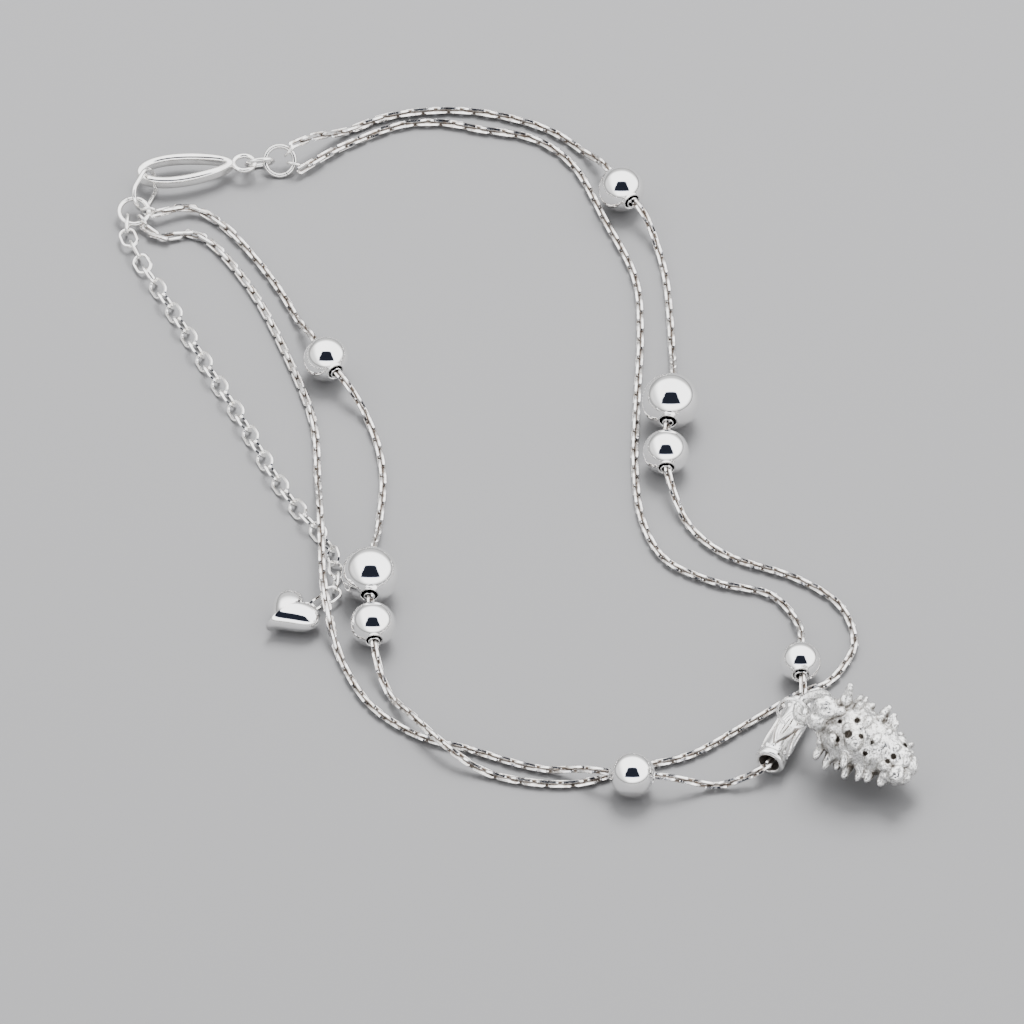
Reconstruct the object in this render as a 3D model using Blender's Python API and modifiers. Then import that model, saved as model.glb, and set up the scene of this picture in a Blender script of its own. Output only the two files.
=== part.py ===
"""Charm anklet in silver, lying flat and fastened.

Two fine chains run side by side from ring to ring. One carries six round beads, the other two
beads and a carved tube with a pine cone charm. A clasp closes the rings, and an extender chain
with a puffed heart hangs from the left one. X runs to the right, +Y away from the front, Z up,
and the origin is the middle of the underside. Lengths are in metres.
"""

import math

import bmesh
import bpy
from mathutils import Matrix, Vector

MM = 0.001
CLEARANCE = 0.3 * MM
UP = Vector((0, 0, 1))

# Chains
STRAND_D = 0.8 * MM
STRAND_STEP = 2.6 * MM
LIFT_RUN = 6.0 * MM
SAMPLE = 0.25 * MM

# Round beads
SMALL_BEAD_D = 4.0 * MM
LARGE_BEAD_D = 5.0 * MM
TUBE_SIDE_BEAD_D = 3.6 * MM
BEAD_HOLE_D = 1.4 * MM
BEAD_RIM_WIDTH = 0.22 * MM
BEAD_RIM_HEIGHT = 0.12 * MM
BEAD_SIDES = 14

# Carved tube with the ring that carries the charm
TUBE_LENGTH = 7.4 * MM
TUBE_D = 2.4 * MM
TUBE_BORE_D = 1.8 * MM
FLANGE_D = 2.7 * MM
FLANGE_LENGTH = 0.5 * MM
TUBE_DOT_D = 0.34 * MM
TUBE_DOTS = 12
TUBE_LEAVES = 4
LEAF_TO_END = 1.5 * MM
LEAF_LENGTH = TUBE_LENGTH - 2 * LEAF_TO_END
LEAF_WIRE_D = 0.3 * MM
CHARM_RING_D = 3.1 * MM
CHARM_RING_WIRE = 0.34 * MM
CHARM_RING_FROM_TOP = 3.5 * MM
CHARM_RING_ROLL = math.radians(14)
CHARM_RING_TIP = math.radians(10)
SOLDER_SINK = 0.22 * MM

# Pine cone charm
CONE_LENGTH = 8.6 * MM
CONE_REACH = 3.9 * MM
CONE_CORE = 2.7 * MM
CONE_SCALES = 52
CONE_SCALE_D = 1.0 * MM
CONE_HEADING = math.radians(-30)
CONE_PITCH = math.radians(-12)
CONE_LOOP_LENGTH = 4.0 * MM
CONE_LOOP_WIDTH = 3.5 * MM
CONE_LOOP_WIRE = 0.95 * MM
CONE_LOOP_SHIFT = 0.45 * MM
CONE_LOOP_WAY = Vector((0.93, -0.15, 0.55))
CONE_LOOP_LEAN = math.radians(5)
CONE_SPUR = 3.0 * MM
CONE_STEM = Vector((1.1, -1.2, -0.12)) * MM

# Heart drop
HEART_WIDTH = 5.0 * MM
HEART_LENGTH = 4.7 * MM
HEART_THICKNESS = 2.5 * MM
HEART_HEADING = math.radians(37)
HEART_CENTRE = Vector((-19.4, -20.6)) * MM
HEART_RING_D = 1.5 * MM
HEART_RING_WIRE = 0.3 * MM

# Rings, links and clasp
END_RING_D = 3.0 * MM
END_RING_WIRE = 0.42 * MM
END_LINK_WIRE = 0.26 * MM
CLASP_RING_D = 2.76 * MM
CLASP_RING_WIRE = 0.38 * MM
CLASP_RING_ROLL = math.radians(-57)
CATCH_WIDTH = 2.9 * MM
CATCH_WIRE = 0.4 * MM
CATCH_ROLL = math.radians(65)
CLASP_LENGTH = 8.6 * MM
CLASP_WIDTH = 4.2 * MM
CLASP_THICKNESS = 1.1 * MM
CLASP_BAR = 0.75 * MM
CLASP_EDGE = 0.18 * MM
CLASP_CORNERS = 24
CLASP_EYE_D = 2.3 * MM
CLASP_EYE_WIRE = 0.45 * MM
CLASP_WAY = math.radians(189)
CLASP_HOOK = math.radians(34)
CHAIN_LINK_LENGTH = 2.2 * MM
CHAIN_LINK_WIDTH = 1.6 * MM
CHAIN_LINK_WIRE = 0.3 * MM
CHAIN_LEAN = math.radians(45)
CHAIN_TURN_LINKS = 5
LINK_BITE = 0.05 * MM

# Where the two end rings lie, how they lean, and where each piece hangs on them
LEFT_RING = Vector((-33.1, 29.5, 1.02)) * MM
RIGHT_RING = Vector((-20.35, 35.7, 1.13)) * MM
LEFT_RING_LEAN = math.radians(15)
RIGHT_RING_LEAN = math.radians(45)
ENDS = {
    "bead_strand": (math.radians(-2), math.radians(44)),
    "charm_strand": (math.radians(-55), math.radians(-12)),
    "extender_chain": math.radians(-112),
}

# The routes, as x and y in millimetres on the surface that the anklet lies on
ROUTES = {
    "bead_strand": [
        (-29.3, 29.9), (-27.5, 30.0), (-24.6, 27.5), (-20.3, 20.3), (-16.2, 10.2),
        (-12.7, 4.5), (-11.3, -2.0), (-11.6, -9.0), (-12.3, -16.9), (-12.1, -22.5),
        (-11.4, -27.5), (-8.9, -32.6), (-5.0, -37.4), (0.0, -39.8), (5.5, -40.3),
        (10.2, -38.5), (15.5, -36.8), (20.6, -32.9), (25.0, -29.3), (26.9, -28.4), (28.4, -26.6),
        (29.7, -23.0), (28.4, -18.5), (24.6, -15.2), (18.8, -12.5), (15.5, -8.9),
        (13.6, -3.8), (13.5, 1.8), (14.0, 6.0), (14.0, 12.0), (13.4, 22.0),
        (12.0, 27.5), (9.6, 31.3), (7.0, 36.5), (3.0, 40.4), (-3.4, 42.6),
        (-9.7, 42.3), (-14.3, 40.2),
    ],
    "charm_strand": [
        (-30.6, 26.7), (-28.4, 27.3), (-25.9, 25.6), (-22.3, 19.3), (-19.0, 10.2),
        (-17.3, 3.6), (-16.9, -3.5), (-16.6, -11.4), (-16.3, -18.5), (-15.1, -24.3),
        (-12.5, -30.4), (-8.4, -34.3), (-3.6, -36.2), (1.0, -38.1), (5.0, -39.1),
        (8.3, -40.5), (12.3, -41.0), (16.0, -40.8), (20.0, -40.2), (22.2, -38.8), (23.6, -35.3),
        (25.0, -31.8), (25.2, -29.6), (25.0, -26.9), (24.9, -21.5), (22.6, -17.4),
        (17.6, -15.7), (13.4, -13.0), (11.3, -8.0), (10.7, -1.2), (10.9, 6.6),
        (11.2, 15.2), (10.7, 22.0), (8.2, 28.9), (5.5, 35.6), (2.0, 39.1),
        (-2.9, 40.4), (-6.3, 41.2), (-10.0, 40.8), (-14.6, 38.3),
    ],
    "extender_chain": [
        (-15.5, -17.3), (-15.3, -15.2), (-15.6, -12.6), (-16.9, -9.7), (-18.9, -6.5),
        (-21.1, -2.0), (-23.7, 4.3), (-26.6, 10.6), (-29.4, 17.0), (-32.0, 22.6),
        (-33.6, 26.6),
    ],
}

# Each bead's strand, where on it the bead sits, in millimetres, and its diameter
BEADS = [
    ("bead_1", "bead_strand", (-16.2, 10.2), SMALL_BEAD_D),
    ("bead_2", "bead_strand", (-12.3, -16.9), LARGE_BEAD_D),
    ("bead_3", "bead_strand", (-12.1, -22.5), SMALL_BEAD_D),
    ("bead_4", "bead_strand", (13.1, -1.2), SMALL_BEAD_D),
    ("bead_5", "bead_strand", (14.0, 4.5), LARGE_BEAD_D),
    ("bead_6", "bead_strand", (9.6, 31.3), SMALL_BEAD_D),
    ("bead_7", "charm_strand", (10.3, -40.8), SMALL_BEAD_D),
    ("bead_8", "charm_strand", (25.0, -26.9), TUBE_SIDE_BEAD_D),
]
PAIRS = (("bead_2", "bead_3"), ("bead_4", "bead_5"))
TUBE_MIDDLE = (23.6, -35.3)

# Where one chain is lifted over another: from here to there, in millimetres, over this one
CROSSINGS = (
    ("bead_strand", (-8.0, -34.2), (-6.3, -36.3), "charm_strand"),
    ("charm_strand", (-16.8, -8.8), (-16.3, -19.2), "extender_chain"),
)


def new_collection(name):
    """A collection in the scene."""
    made = bpy.data.collections.new(name)
    bpy.context.scene.collection.children.link(made)
    return made


def silver(name, shade, roughness):
    """A polished, drawn or cast silver finish."""
    material = bpy.data.materials.new(name)
    material.use_nodes = True
    shader = material.node_tree.nodes["Principled BSDF"]
    shader.inputs["Base Color"].default_value = (shade, shade, shade * 0.99, 1)
    shader.inputs["Metallic"].default_value = 1.0
    shader.inputs["Roughness"].default_value = roughness
    return material


def add_object(name, data, collection, material=None, matrix=Matrix()):
    """An object of this mesh or curve, at this place."""
    made = bpy.data.objects.new(name, data)
    made.matrix_world = matrix
    collection.objects.link(made)
    if material:
        data.materials.append(material)
    return made


def add_helper(name, data, matrix=Matrix()):
    """A shape that is only joined to another one, or cut from it."""
    made = add_object(name, data, helpers, matrix=matrix)
    made.hide_render = True
    made.display_type = "WIRE"
    return made


def smooth(mesh):
    """Round faces shaded smooth, with the sharp edges kept."""
    mesh.shade_smooth()
    mesh.set_sharp_from_angle(angle=math.radians(40))


def frame_of(origin, forward, up=UP):
    """The matrix whose Z runs forward, with its Y as near up as it can be."""
    z = forward.normalized()
    x = up.cross(z).normalized()
    matrix = Matrix((x, z.cross(x), z)).transposed().to_4x4()
    matrix.translation = origin
    return matrix


def wire_curve(name, lines, depth, resolution, cyclic=False):
    """A round wire along lines of (point, share of the depth)."""
    curve = bpy.data.curves.new(name, "CURVE")
    curve.dimensions = "3D"
    curve.bevel_depth = depth
    curve.bevel_resolution = resolution
    curve.use_fill_caps = not cyclic
    for line in lines:
        spline = curve.splines.new("POLY")
        spline.points.add(len(line) - 1)
        spline.use_cyclic_u = cyclic
        for place, (point, share) in zip(spline.points, line):
            place.co = (*point, 1)
            place.radius = share
    return curve


def mesh_from_curve(curve):
    """The curve's surface as a closed mesh, with its caps welded on."""
    guide = bpy.data.objects.new(curve.name, curve)
    bpy.context.scene.collection.objects.link(guide)
    graph = bpy.context.evaluated_depsgraph_get()
    mesh = bpy.data.meshes.new_from_object(guide.evaluated_get(graph))
    bpy.data.objects.remove(guide)
    bpy.data.curves.remove(curve)
    shape = bmesh.new()
    shape.from_mesh(mesh)
    bmesh.ops.remove_doubles(shape, verts=shape.verts, dist=0.001 * MM)
    bmesh.ops.recalc_face_normals(shape, faces=shape.faces)
    shape.to_mesh(mesh)
    shape.free()
    return mesh


def link_mesh(name, length, width, wire, points=14, sides=6):
    """A closed ring or oval link of round wire, lying in X and Y."""
    bpy.ops.mesh.primitive_torus_add(
        major_segments=points, minor_segments=sides,
        major_radius=(width - wire) / 2, minor_radius=wire / 2,
    )
    primitive = bpy.context.object
    mesh = primitive.data
    mesh.name = name
    bpy.data.objects.remove(primitive)
    stretch = (length - width) / 2
    for vert in mesh.vertices:
        vert.co.x += math.copysign(stretch, vert.co.x)
    return mesh


def turned(name, profile, sides, collection, material=None, matrix=Matrix()):
    """A profile of (radius, height), from top to bottom outside and back up inside, turned round."""
    mesh = bpy.data.meshes.new(name)
    count = len(profile)
    edges = [(i, (i + 1) % count) for i in range(count)]
    mesh.from_pydata([(r, 0, z) for r, z in profile], edges, [])
    made = add_object(name, mesh, collection, material, matrix)
    screw = made.modifiers.new("Turn", "SCREW")
    screw.steps = screw.render_steps = sides
    screw.use_merge_vertices = True
    screw.merge_threshold = 0.0005 * MM
    return made


def union(target, helper, overlapping=False):
    """Joins a helper shape to the target; overlapping says that its own pieces cross."""
    join = target.modifiers.new("Join", "BOOLEAN")
    join.operation = "UNION"
    join.object = helper
    join.use_self = overlapping


def spline_through(points):
    """Close points along a Catmull-Rom curve through the chosen ones."""
    first, last = 2 * points[0] - points[1], 2 * points[-1] - points[-2]
    padded = [first, *points, last]
    made = []
    for a, b, c, d in zip(padded, padded[1:], padded[2:], padded[3:]):
        steps = max(2, math.ceil((c - b).length / SAMPLE))
        for i in range(steps):
            t = i / steps
            made.append(
                0.5 * (2 * b + (c - a) * t + (2 * a - 5 * b + 4 * c - d) * t**2
                       + (3 * b - a - 3 * c + d) * t**3)
            )
    return [*made, points[-1]]


class Path:
    """A chain's way over the surface, with the places where something lifts it."""

    def __init__(self, start, route, end, rest_height):
        corners = [start.xy, *(Vector(p) * MM for p in route), end.xy]
        self.plan = spline_through(corners)
        self.along = [0.0]
        for a, b in zip(self.plan, self.plan[1:]):
            self.along.append(self.along[-1] + (b - a).length)
        self.length = self.along[-1]
        self.rest_height = rest_height
        self.lifts = []
        self.lift(0, 0, start.z)
        self.lift(self.length, self.length, end.z)

    def nearest(self, place):
        """How far along the path lies the point nearest to this place, in millimetres."""
        place = Vector(place) * MM
        return min(zip(self.plan, self.along), key=lambda step: (step[0] - place).length)[1]

    def lift(self, start, end, start_height, end_height=None):
        """From start to end the chain runs straight between two heights, and eases down beyond."""
        if end_height is None:
            end_height = start_height
        self.lifts.append((start, end, start_height, end_height))

    def height(self, distance):
        best = self.rest_height
        for start, end, low, high in self.lifts:
            share = (distance - start) / max(end - start, 0.01 * MM)
            inside = low + (high - low) * min(max(share, 0), 1)
            gone = min(max(start - distance, distance - end, 0) / LIFT_RUN, 1)
            ease = 1 - gone * gone * (3 - 2 * gone)
            best = max(best, self.rest_height + (inside - self.rest_height) * ease)
        return best

    def point(self, distance):
        """The middle of the chain this far from its start."""
        distance = min(max(distance, 0), self.length)
        i = 1
        while self.along[i] < distance and i < len(self.along) - 1:
            i += 1
        a, b = self.plan[i - 1], self.plan[i]
        share = (distance - self.along[i - 1]) / (self.along[i] - self.along[i - 1])
        x, y = a + (b - a) * share
        return Vector((x, y, self.height(distance)))

    def direction(self, distance, reach=0.5 * MM):
        return (self.point(distance + reach) - self.point(distance - reach)).normalized()


def chain_height():
    """How tall the extender chain lies, with its links leaning to each side in turn."""
    return (CHAIN_LINK_WIDTH - CHAIN_LINK_WIRE) * math.sin(CHAIN_LEAN) + CHAIN_LINK_WIRE


def end_link_size():
    """The outer diameter of the small link that goes round an end ring's wire."""
    return END_RING_WIRE + 2 * (CLEARANCE + END_LINK_WIRE)


def end_link_place(ring, angle):
    """The matrix of the end link at this angle, centred on the ring's wire and square to it."""
    radial = ring.to_3x3() @ Vector((math.cos(angle), math.sin(angle), 0))
    spot = ring.translation + radial * (END_RING_D - END_RING_WIRE) / 2
    return ring_place(spot, radial, ring.to_3x3() @ UP)


def strand_end(ring, angle):
    """Where a strand starts: clear of the end link, also when it turns off by 30 degrees."""
    reach = end_link_size() / 2 + CLEARANCE + STRAND_D / 2 * math.sin(math.radians(30))
    return end_link_place(ring, angle) @ Vector((reach, 0, 0))


def linked_distance(size_a, wire_a, size_b, wire_b):
    """How far apart the middles of two linked rings are when the chain is drawn out."""
    return (size_a + size_b) / 2 - wire_a - wire_b - CLEARANCE


def heart_ring_middle():
    """The middle of the small ring in the heart's notch."""
    way = Vector((math.cos(HEART_HEADING), math.sin(HEART_HEADING)))
    notch = heart_outline(0).y * HEART_LENGTH / 2
    x, y = HEART_CENTRE + way * (notch + HEART_RING_D * 0.6)
    return Vector((x, y, CHAIN_LINK_WIDTH / 2))


def make_paths():
    """The three chains' paths, lifted by their beads, by the tube and by each other."""
    made = {}
    for name in ("bead_strand", "charm_strand"):
        left, right = ENDS[name]
        made[name] = Path(strand_end(left_ring, left), ROUTES[name],
                          strand_end(right_ring, right), STRAND_D / 2)
    way = Vector((math.cos(HEART_HEADING), math.sin(HEART_HEADING), 0))
    start = heart_ring_middle() + way * linked_distance(
        HEART_RING_D, HEART_RING_WIRE, CHAIN_LINK_LENGTH, CHAIN_LINK_WIRE)
    angle = ENDS["extender_chain"]
    out = left_ring.to_3x3() @ Vector((math.cos(angle), math.sin(angle), 0))
    end = left_ring.translation + out * linked_distance(
        END_RING_D, END_RING_WIRE, CHAIN_LINK_LENGTH, CHAIN_LINK_WIRE)
    end.z = max(end.z, CHAIN_LINK_WIDTH / 2)
    made["extender_chain"] = Path(start, ROUTES["extender_chain"], end, chain_height() / 2)

    middles = {name: (strand, made[strand].nearest(at), size) for name, strand, at, size in BEADS}
    for first, second in PAIRS:
        strand, at_a, size_a = middles.pop(first)
        _, at_b, size_b = middles.pop(second)
        slope = (size_b - size_a) / 2 / (at_b - at_a)
        start, end = at_a - size_a / 2, at_b + size_b / 2
        made[strand].lift(start, end, size_a / 2 + slope * (start - at_a),
                          size_b / 2 + slope * (end - at_b))
    for strand, at, size in middles.values():
        made[strand].lift(at - size / 2, at + size / 2, size / 2)
    middle, half = made["charm_strand"].nearest(TUBE_MIDDLE), TUBE_LENGTH / 2
    made["charm_strand"].lift(middle - half, middle + half, FLANGE_D / 2)
    tops = {"charm_strand": STRAND_D, "extender_chain": CHAIN_LINK_WIDTH}
    for strand, start, end, below in CROSSINGS:
        path = made[strand]
        path.lift(path.nearest(start), path.nearest(end), tops[below] + CLEARANCE + STRAND_D / 2)
    return made


def make_strand(name):
    """One fine chain, as a round tube along its path."""
    path = paths[name]
    count = round(path.length / STRAND_STEP)
    line = [(path.point(path.length * i / count), 1.0) for i in range(count + 1)]
    curve = wire_curve(name, [line], STRAND_D / 2, 2)
    add_object(name, curve, anklet, silver(name + "_silver", 0.9, 0.22))


def make_bead(name, strand, place, size):
    """A round bead, drilled for its chain, with a raised rim at each hole."""
    hole, rim = BEAD_HOLE_D / 2, BEAD_HOLE_D / 2 + BEAD_RIM_WIDTH
    radius = size / 2
    shoulder = math.asin(rim / radius)
    top = radius * math.cos(shoulder) + BEAD_RIM_HEIGHT
    profile = [(hole, top), (rim, top)]
    steps = 9
    for i in range(steps + 1):
        angle = shoulder + (math.pi - 2 * shoulder) * i / steps
        profile.append((radius * math.sin(angle), radius * math.cos(angle)))
    profile += [(rim, -top), (hole, -top)]
    path = paths[strand]
    at = path.nearest(place)
    chord = path.point(at + radius) - path.point(at - radius)
    matrix = frame_of(path.point(at), chord)
    made = turned(name, profile, BEAD_SIDES, anklet, silver(name + "_silver", 0.95, 0.04), matrix)
    smooth(made.data)


def make_tube():
    """The carved tube: flanges, a row of dots, raised leaves and the ring for the charm."""
    path = paths["charm_strand"]
    middle = path.nearest(TUBE_MIDDLE)
    matrix = frame_of(path.point(middle), path.direction(middle, TUBE_LENGTH / 2))
    half, bore = TUBE_LENGTH / 2, TUBE_BORE_D / 2
    body, flange, step = TUBE_D / 2, FLANGE_D / 2, FLANGE_LENGTH
    profile = [(bore, half), (flange, half), (flange, half - step), (body, half - 1.3 * step),
               (body, 1.3 * step - half), (flange, step - half), (flange, -half), (bore, -half)]
    tube = turned("tube_bead", profile, 18, anklet, silver("tube_silver", 0.88, 0.18), matrix)

    # The dots lie midway between the leaves' tips and the flange's foot
    band = (LEAF_LENGTH / 2 + half - 1.4 * step) / 2
    dots = bmesh.new()
    for end in (-1, 1):
        for i in range(TUBE_DOTS):
            turn = Matrix.Rotation(2 * math.pi * i / TUBE_DOTS, 4, "Z")
            out = Matrix.Translation((body, 0, end * band))
            bmesh.ops.create_icosphere(dots, subdivisions=1, radius=TUBE_DOT_D / 2,
                                       matrix=turn @ out)
    mesh = bpy.data.meshes.new("tube_dots")
    dots.to_mesh(mesh)
    dots.free()
    union(tube, add_helper("tube_dots", mesh, matrix))

    lines = []
    for i in range(TUBE_LEAVES):
        for side in (-1, 1):
            line = []
            for k in range(6):
                share = k / 5
                bow = math.sin(math.pi * share) * math.pi / TUBE_LEAVES * 0.62
                angle = 2 * math.pi * (i + 0.2 * share) / TUBE_LEAVES + side * bow
                point = Vector((body * math.cos(angle), body * math.sin(angle),
                                LEAF_LENGTH * (share - 0.5)))
                line.append((point, 0.55 + 0.45 * math.sin(math.pi * share)))
            lines.append(line)
    mesh = mesh_from_curve(wire_curve("tube_leaves", lines, LEAF_WIRE_D / 2, 0))
    union(tube, add_helper("tube_leaves", mesh, matrix), overlapping=True)

    mesh = link_mesh("charm_ring", CHARM_RING_D, CHARM_RING_D, CHARM_RING_WIRE, 16)
    lean = Matrix.Rotation(CHARM_RING_ROLL, 4, "Z")
    foot = Matrix.Translation((0, body - SOLDER_SINK, half - CHARM_RING_FROM_TOP))
    tip = Matrix.Rotation(CHARM_RING_TIP, 4, "X")
    ring = matrix @ lean @ foot @ tip @ Matrix.Translation((0, CHARM_RING_D / 2, 0))
    union(tube, add_helper("charm_ring", mesh, ring))
    smooth(tube.data)
    return ring.translation


def share_between(table, share):
    """A value read from rows of (share of the length, value)."""
    for (a, low), (b, high) in zip(table, table[1:]):
        if share <= b:
            return low + (high - low) * (share - a) / (b - a)
    return table[-1][1]


def make_pine_cone(ring_middle):
    """The cast pine cone: a core, open scales in a spiral, a spur and the oval loop."""
    heading = Vector((math.cos(CONE_HEADING), math.sin(CONE_HEADING), math.tan(CONE_PITCH)))
    axis = heading.normalized()
    reach = (CONE_LOOP_LENGTH - CONE_LOOP_WIRE) / 2
    along_loop = CONE_LOOP_WAY.normalized()
    loop_middle = ring_middle + along_loop * (reach + CONE_LOOP_SHIFT)
    stem = loop_middle + CONE_STEM
    matrix = frame_of(stem, axis)

    # The core and the reach of the scales, as shares of the cone's length and radii
    core_shape = [(0.0, 0.6), (0.12, 0.9), (0.35, 1.0), (0.65, 0.85), (0.9, 0.55), (1.0, 0.2)]
    scale_shape = [(0.0, 0.72), (0.2, 1.0), (0.45, 1.0), (0.65, 0.8), (0.88, 0.54), (1.0, 0.3)]
    lean_shape = [(0.0, -8.0), (0.3, 4.0), (0.7, 24.0), (0.9, 45.0), (1.0, 70.0)]
    profile = [(0, CONE_LENGTH)]
    profile += [(CONE_CORE * r, CONE_LENGTH * z) for z, r in reversed(core_shape)]
    profile += [(0, 0)]
    cone = turned("pine_cone", profile, 12, anklet, silver("cone_silver", 0.86, 0.35), matrix)

    lines = []
    for k in range(CONE_SCALES):
        share = 0.05 + 0.93 * k / (CONE_SCALES - 1)
        angle = k * math.radians(137.5)
        lean = math.radians(share_between(lean_shape, share))
        out = Vector((math.cos(angle), math.sin(angle), 0))
        inner = CONE_CORE * share_between(core_shape, share) * 0.35
        root = Vector((0, 0, CONE_LENGTH * share * 0.97)) + out * inner
        length = CONE_REACH * share_between(scale_shape, share) - inner
        length *= 1 + 0.06 * math.sin(k * 2.3)
        way = out * math.cos(lean) + UP * math.sin(lean)
        line = []
        for step, size in ((0.0, 0.8), (0.5, 0.9), (0.9, 1.0), (1.0, 0.5)):
            droop = UP * (-0.14 * math.cos(lean) * length * step**2)
            line.append((root + way * length * step + droop, size))
        lines.append(line)
    mesh = mesh_from_curve(wire_curve("cone_scales", lines, CONE_SCALE_D / 2, 1))
    union(cone, add_helper("cone_scales", mesh, matrix), overlapping=True)

    foot = matrix @ Vector((0, CONE_CORE * 0.5, CONE_LENGTH * 0.16))
    rise = Vector((0.14, 0.35, 0.93)).normalized() * CONE_SPUR
    line = [(foot, 1.0), (foot + rise * 0.45, 0.95), (foot + rise * 0.85, 0.8), (foot + rise, 0.35)]
    mesh = mesh_from_curve(wire_curve("cone_spur", [line], CONE_SCALE_D / 2, 1))
    union(cone, add_helper("cone_spur", mesh))

    across = Vector((0, math.cos(CONE_LOOP_LEAN), math.sin(CONE_LOOP_LEAN)))
    normal = along_loop.cross(across).normalized()
    place = Matrix((along_loop, normal.cross(along_loop), normal)).transposed().to_4x4()
    place.translation = loop_middle
    mesh = link_mesh("cone_loop", CONE_LOOP_LENGTH, CONE_LOOP_WIDTH, CONE_LOOP_WIRE, 18)
    union(cone, add_helper("cone_loop", mesh, place))


def heart_outline(angle):
    """The heart's edge, as shares of half its width and length, with its point at -Y."""
    x = math.sin(angle) ** 3
    y = (13 * math.cos(angle) - 5 * math.cos(2 * angle) - 2 * math.cos(3 * angle)
         - math.cos(4 * angle)) / 14.5 + 0.15
    return Vector((x, y))


def make_heart():
    """The puffed heart drop with the small ring soldered in its notch."""
    sides, rings = 24, 10
    shape = bmesh.new()
    bmesh.ops.create_uvsphere(shape, u_segments=sides, v_segments=rings, radius=1)
    for vert in shape.verts:
        flat = math.hypot(vert.co.x, vert.co.y)
        edge = heart_outline(math.atan2(vert.co.x, vert.co.y)) * flat**0.85
        vert.co = Vector((edge.x * HEART_WIDTH / 2, edge.y * HEART_LENGTH / 2,
                          vert.co.z * HEART_THICKNESS / 2))
    mesh = bpy.data.meshes.new("heart")
    shape.to_mesh(mesh)
    shape.free()
    turn = Matrix.Rotation(HEART_HEADING - math.pi / 2, 4, "Z")
    centre = Vector((*HEART_CENTRE, HEART_THICKNESS / 2))
    heart = add_object("heart", mesh, anklet, silver("heart_silver", 0.95, 0.05),
                       Matrix.Translation(centre) @ turn)
    ring = link_mesh("heart_ring", HEART_RING_D, HEART_RING_D, HEART_RING_WIRE, 12)
    union(heart, add_helper("heart_ring", ring, Matrix.Translation(heart_ring_middle())))
    smooth(heart.data)


def make_extender():
    """The extender chain: oval links that lean to each side in turn, joined where they touch."""
    path = paths["extender_chain"]
    pitch = CHAIN_LINK_LENGTH - 2 * CHAIN_LINK_WIRE + LINK_BITE
    count = 2 * round((path.length / pitch - 1) / 2) + 2
    mesh = link_mesh("chain_link", CHAIN_LINK_LENGTH, CHAIN_LINK_WIDTH, CHAIN_LINK_WIRE, 10, 5)
    spare = new_collection("chain_links")
    chain = None
    for i in range(count):
        at = path.length * i / (count - 1)
        way = path.direction(at)
        level = UP.cross(way).normalized()

        # Both end links stand upright, and those beside them turn over little by little
        turn = CHAIN_LEAN * (1 - min(min(i, count - 1 - i) / CHAIN_TURN_LINKS, 1))
        lean = CHAIN_LEAN * (1 if i % 2 else -1)
        lean += turn if i > count / 2 else -turn
        across = level * math.cos(lean) + way.cross(level) * math.sin(lean)
        place = Matrix((way, across, way.cross(across))).transposed().to_4x4()
        place.translation = path.point(at)
        lowest = leaning_height(CHAIN_LINK_WIDTH, CHAIN_LINK_WIRE, lean)
        place.translation.z = max(place.translation.z, lowest)
        if chain is None:
            chain = add_object("extender_chain", mesh.copy(), anklet,
                               silver("extender_silver", 0.92, 0.12), place)
            continue
        link = add_object(f"chain_link_{i}", mesh, spare, matrix=place)
        link.hide_render = True
        link.display_type = "WIRE"
    join = chain.modifiers.new("Join", "BOOLEAN")
    join.operation = "UNION"
    join.operand_type = "COLLECTION"
    join.collection = spare
    join.use_self = True


def ring_place(centre, axis, side):
    """The matrix of a ring whose X runs along the axis and whose Y runs to the side."""
    axis = axis.normalized()
    normal = axis.cross(side).normalized()
    matrix = Matrix((axis, normal.cross(axis), normal)).transposed().to_4x4()
    matrix.translation = centre
    return matrix


def leaning_place(centre, heading, lean):
    """The matrix of a ring whose X runs level this way and whose Y leans up by this angle."""
    way = Vector((math.cos(heading), math.sin(heading), 0))
    side = UP.cross(way) * math.cos(lean) + UP * math.sin(lean)
    return ring_place(centre, way, side)


def add_ring(name, place, length, width, wire, points=14):
    """A jump ring or an oval link of its own."""
    made = add_object(name, link_mesh(name, length, width, wire, points), anklet,
                      silver(name + "_silver", 0.94, 0.08), place)
    smooth(made.data)


def leaning_height(width, wire, lean):
    """How high the middle of a leaning ring is when its lower side lies on the surface."""
    return (width - wire) / 2 * abs(math.sin(lean)) + wire / 2


def clasp_line(angle, inset):
    """A point of the clasp's rounded outline, this far inside it, in the clasp's own X and Y."""
    x, y = math.cos(angle), math.sin(angle)
    full = 0.82 + 0.18 * x
    return Vector((x * (CLASP_LENGTH / 2 - inset), y * (CLASP_WIDTH / 2 * full - inset), 0))


def make_clasp(place, eye_reach):
    """A plain lobster clasp: a flat drop-shaped body round its opening, and the eye at its tail."""
    curve = bpy.data.curves.new("clasp", "CURVE")
    curve.dimensions = "2D"
    curve.fill_mode = "BOTH"
    curve.bevel_depth = CLASP_EDGE
    curve.bevel_resolution = 0
    curve.offset = -CLASP_EDGE
    curve.extrude = CLASP_THICKNESS / 2 - CLASP_EDGE
    for inset in (0, CLASP_BAR):
        spline = curve.splines.new("POLY")
        spline.points.add(CLASP_CORNERS - 1)
        spline.use_cyclic_u = True
        for i, spot in enumerate(spline.points):
            spot.co = (*clasp_line(2 * math.pi * i / CLASP_CORNERS, inset), 1)
    clasp = add_object("clasp", mesh_from_curve(curve), anklet,
                       silver("clasp_silver", 0.93, 0.1), place)
    mesh = link_mesh("clasp_eye", CLASP_EYE_D, CLASP_EYE_D, CLASP_EYE_WIRE, 14)
    eye = place @ Matrix.Translation((-CLASP_LENGTH / 2 - eye_reach, 0, 0))
    union(clasp, add_helper("clasp_eye", mesh, eye))
    smooth(clasp.data)


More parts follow.
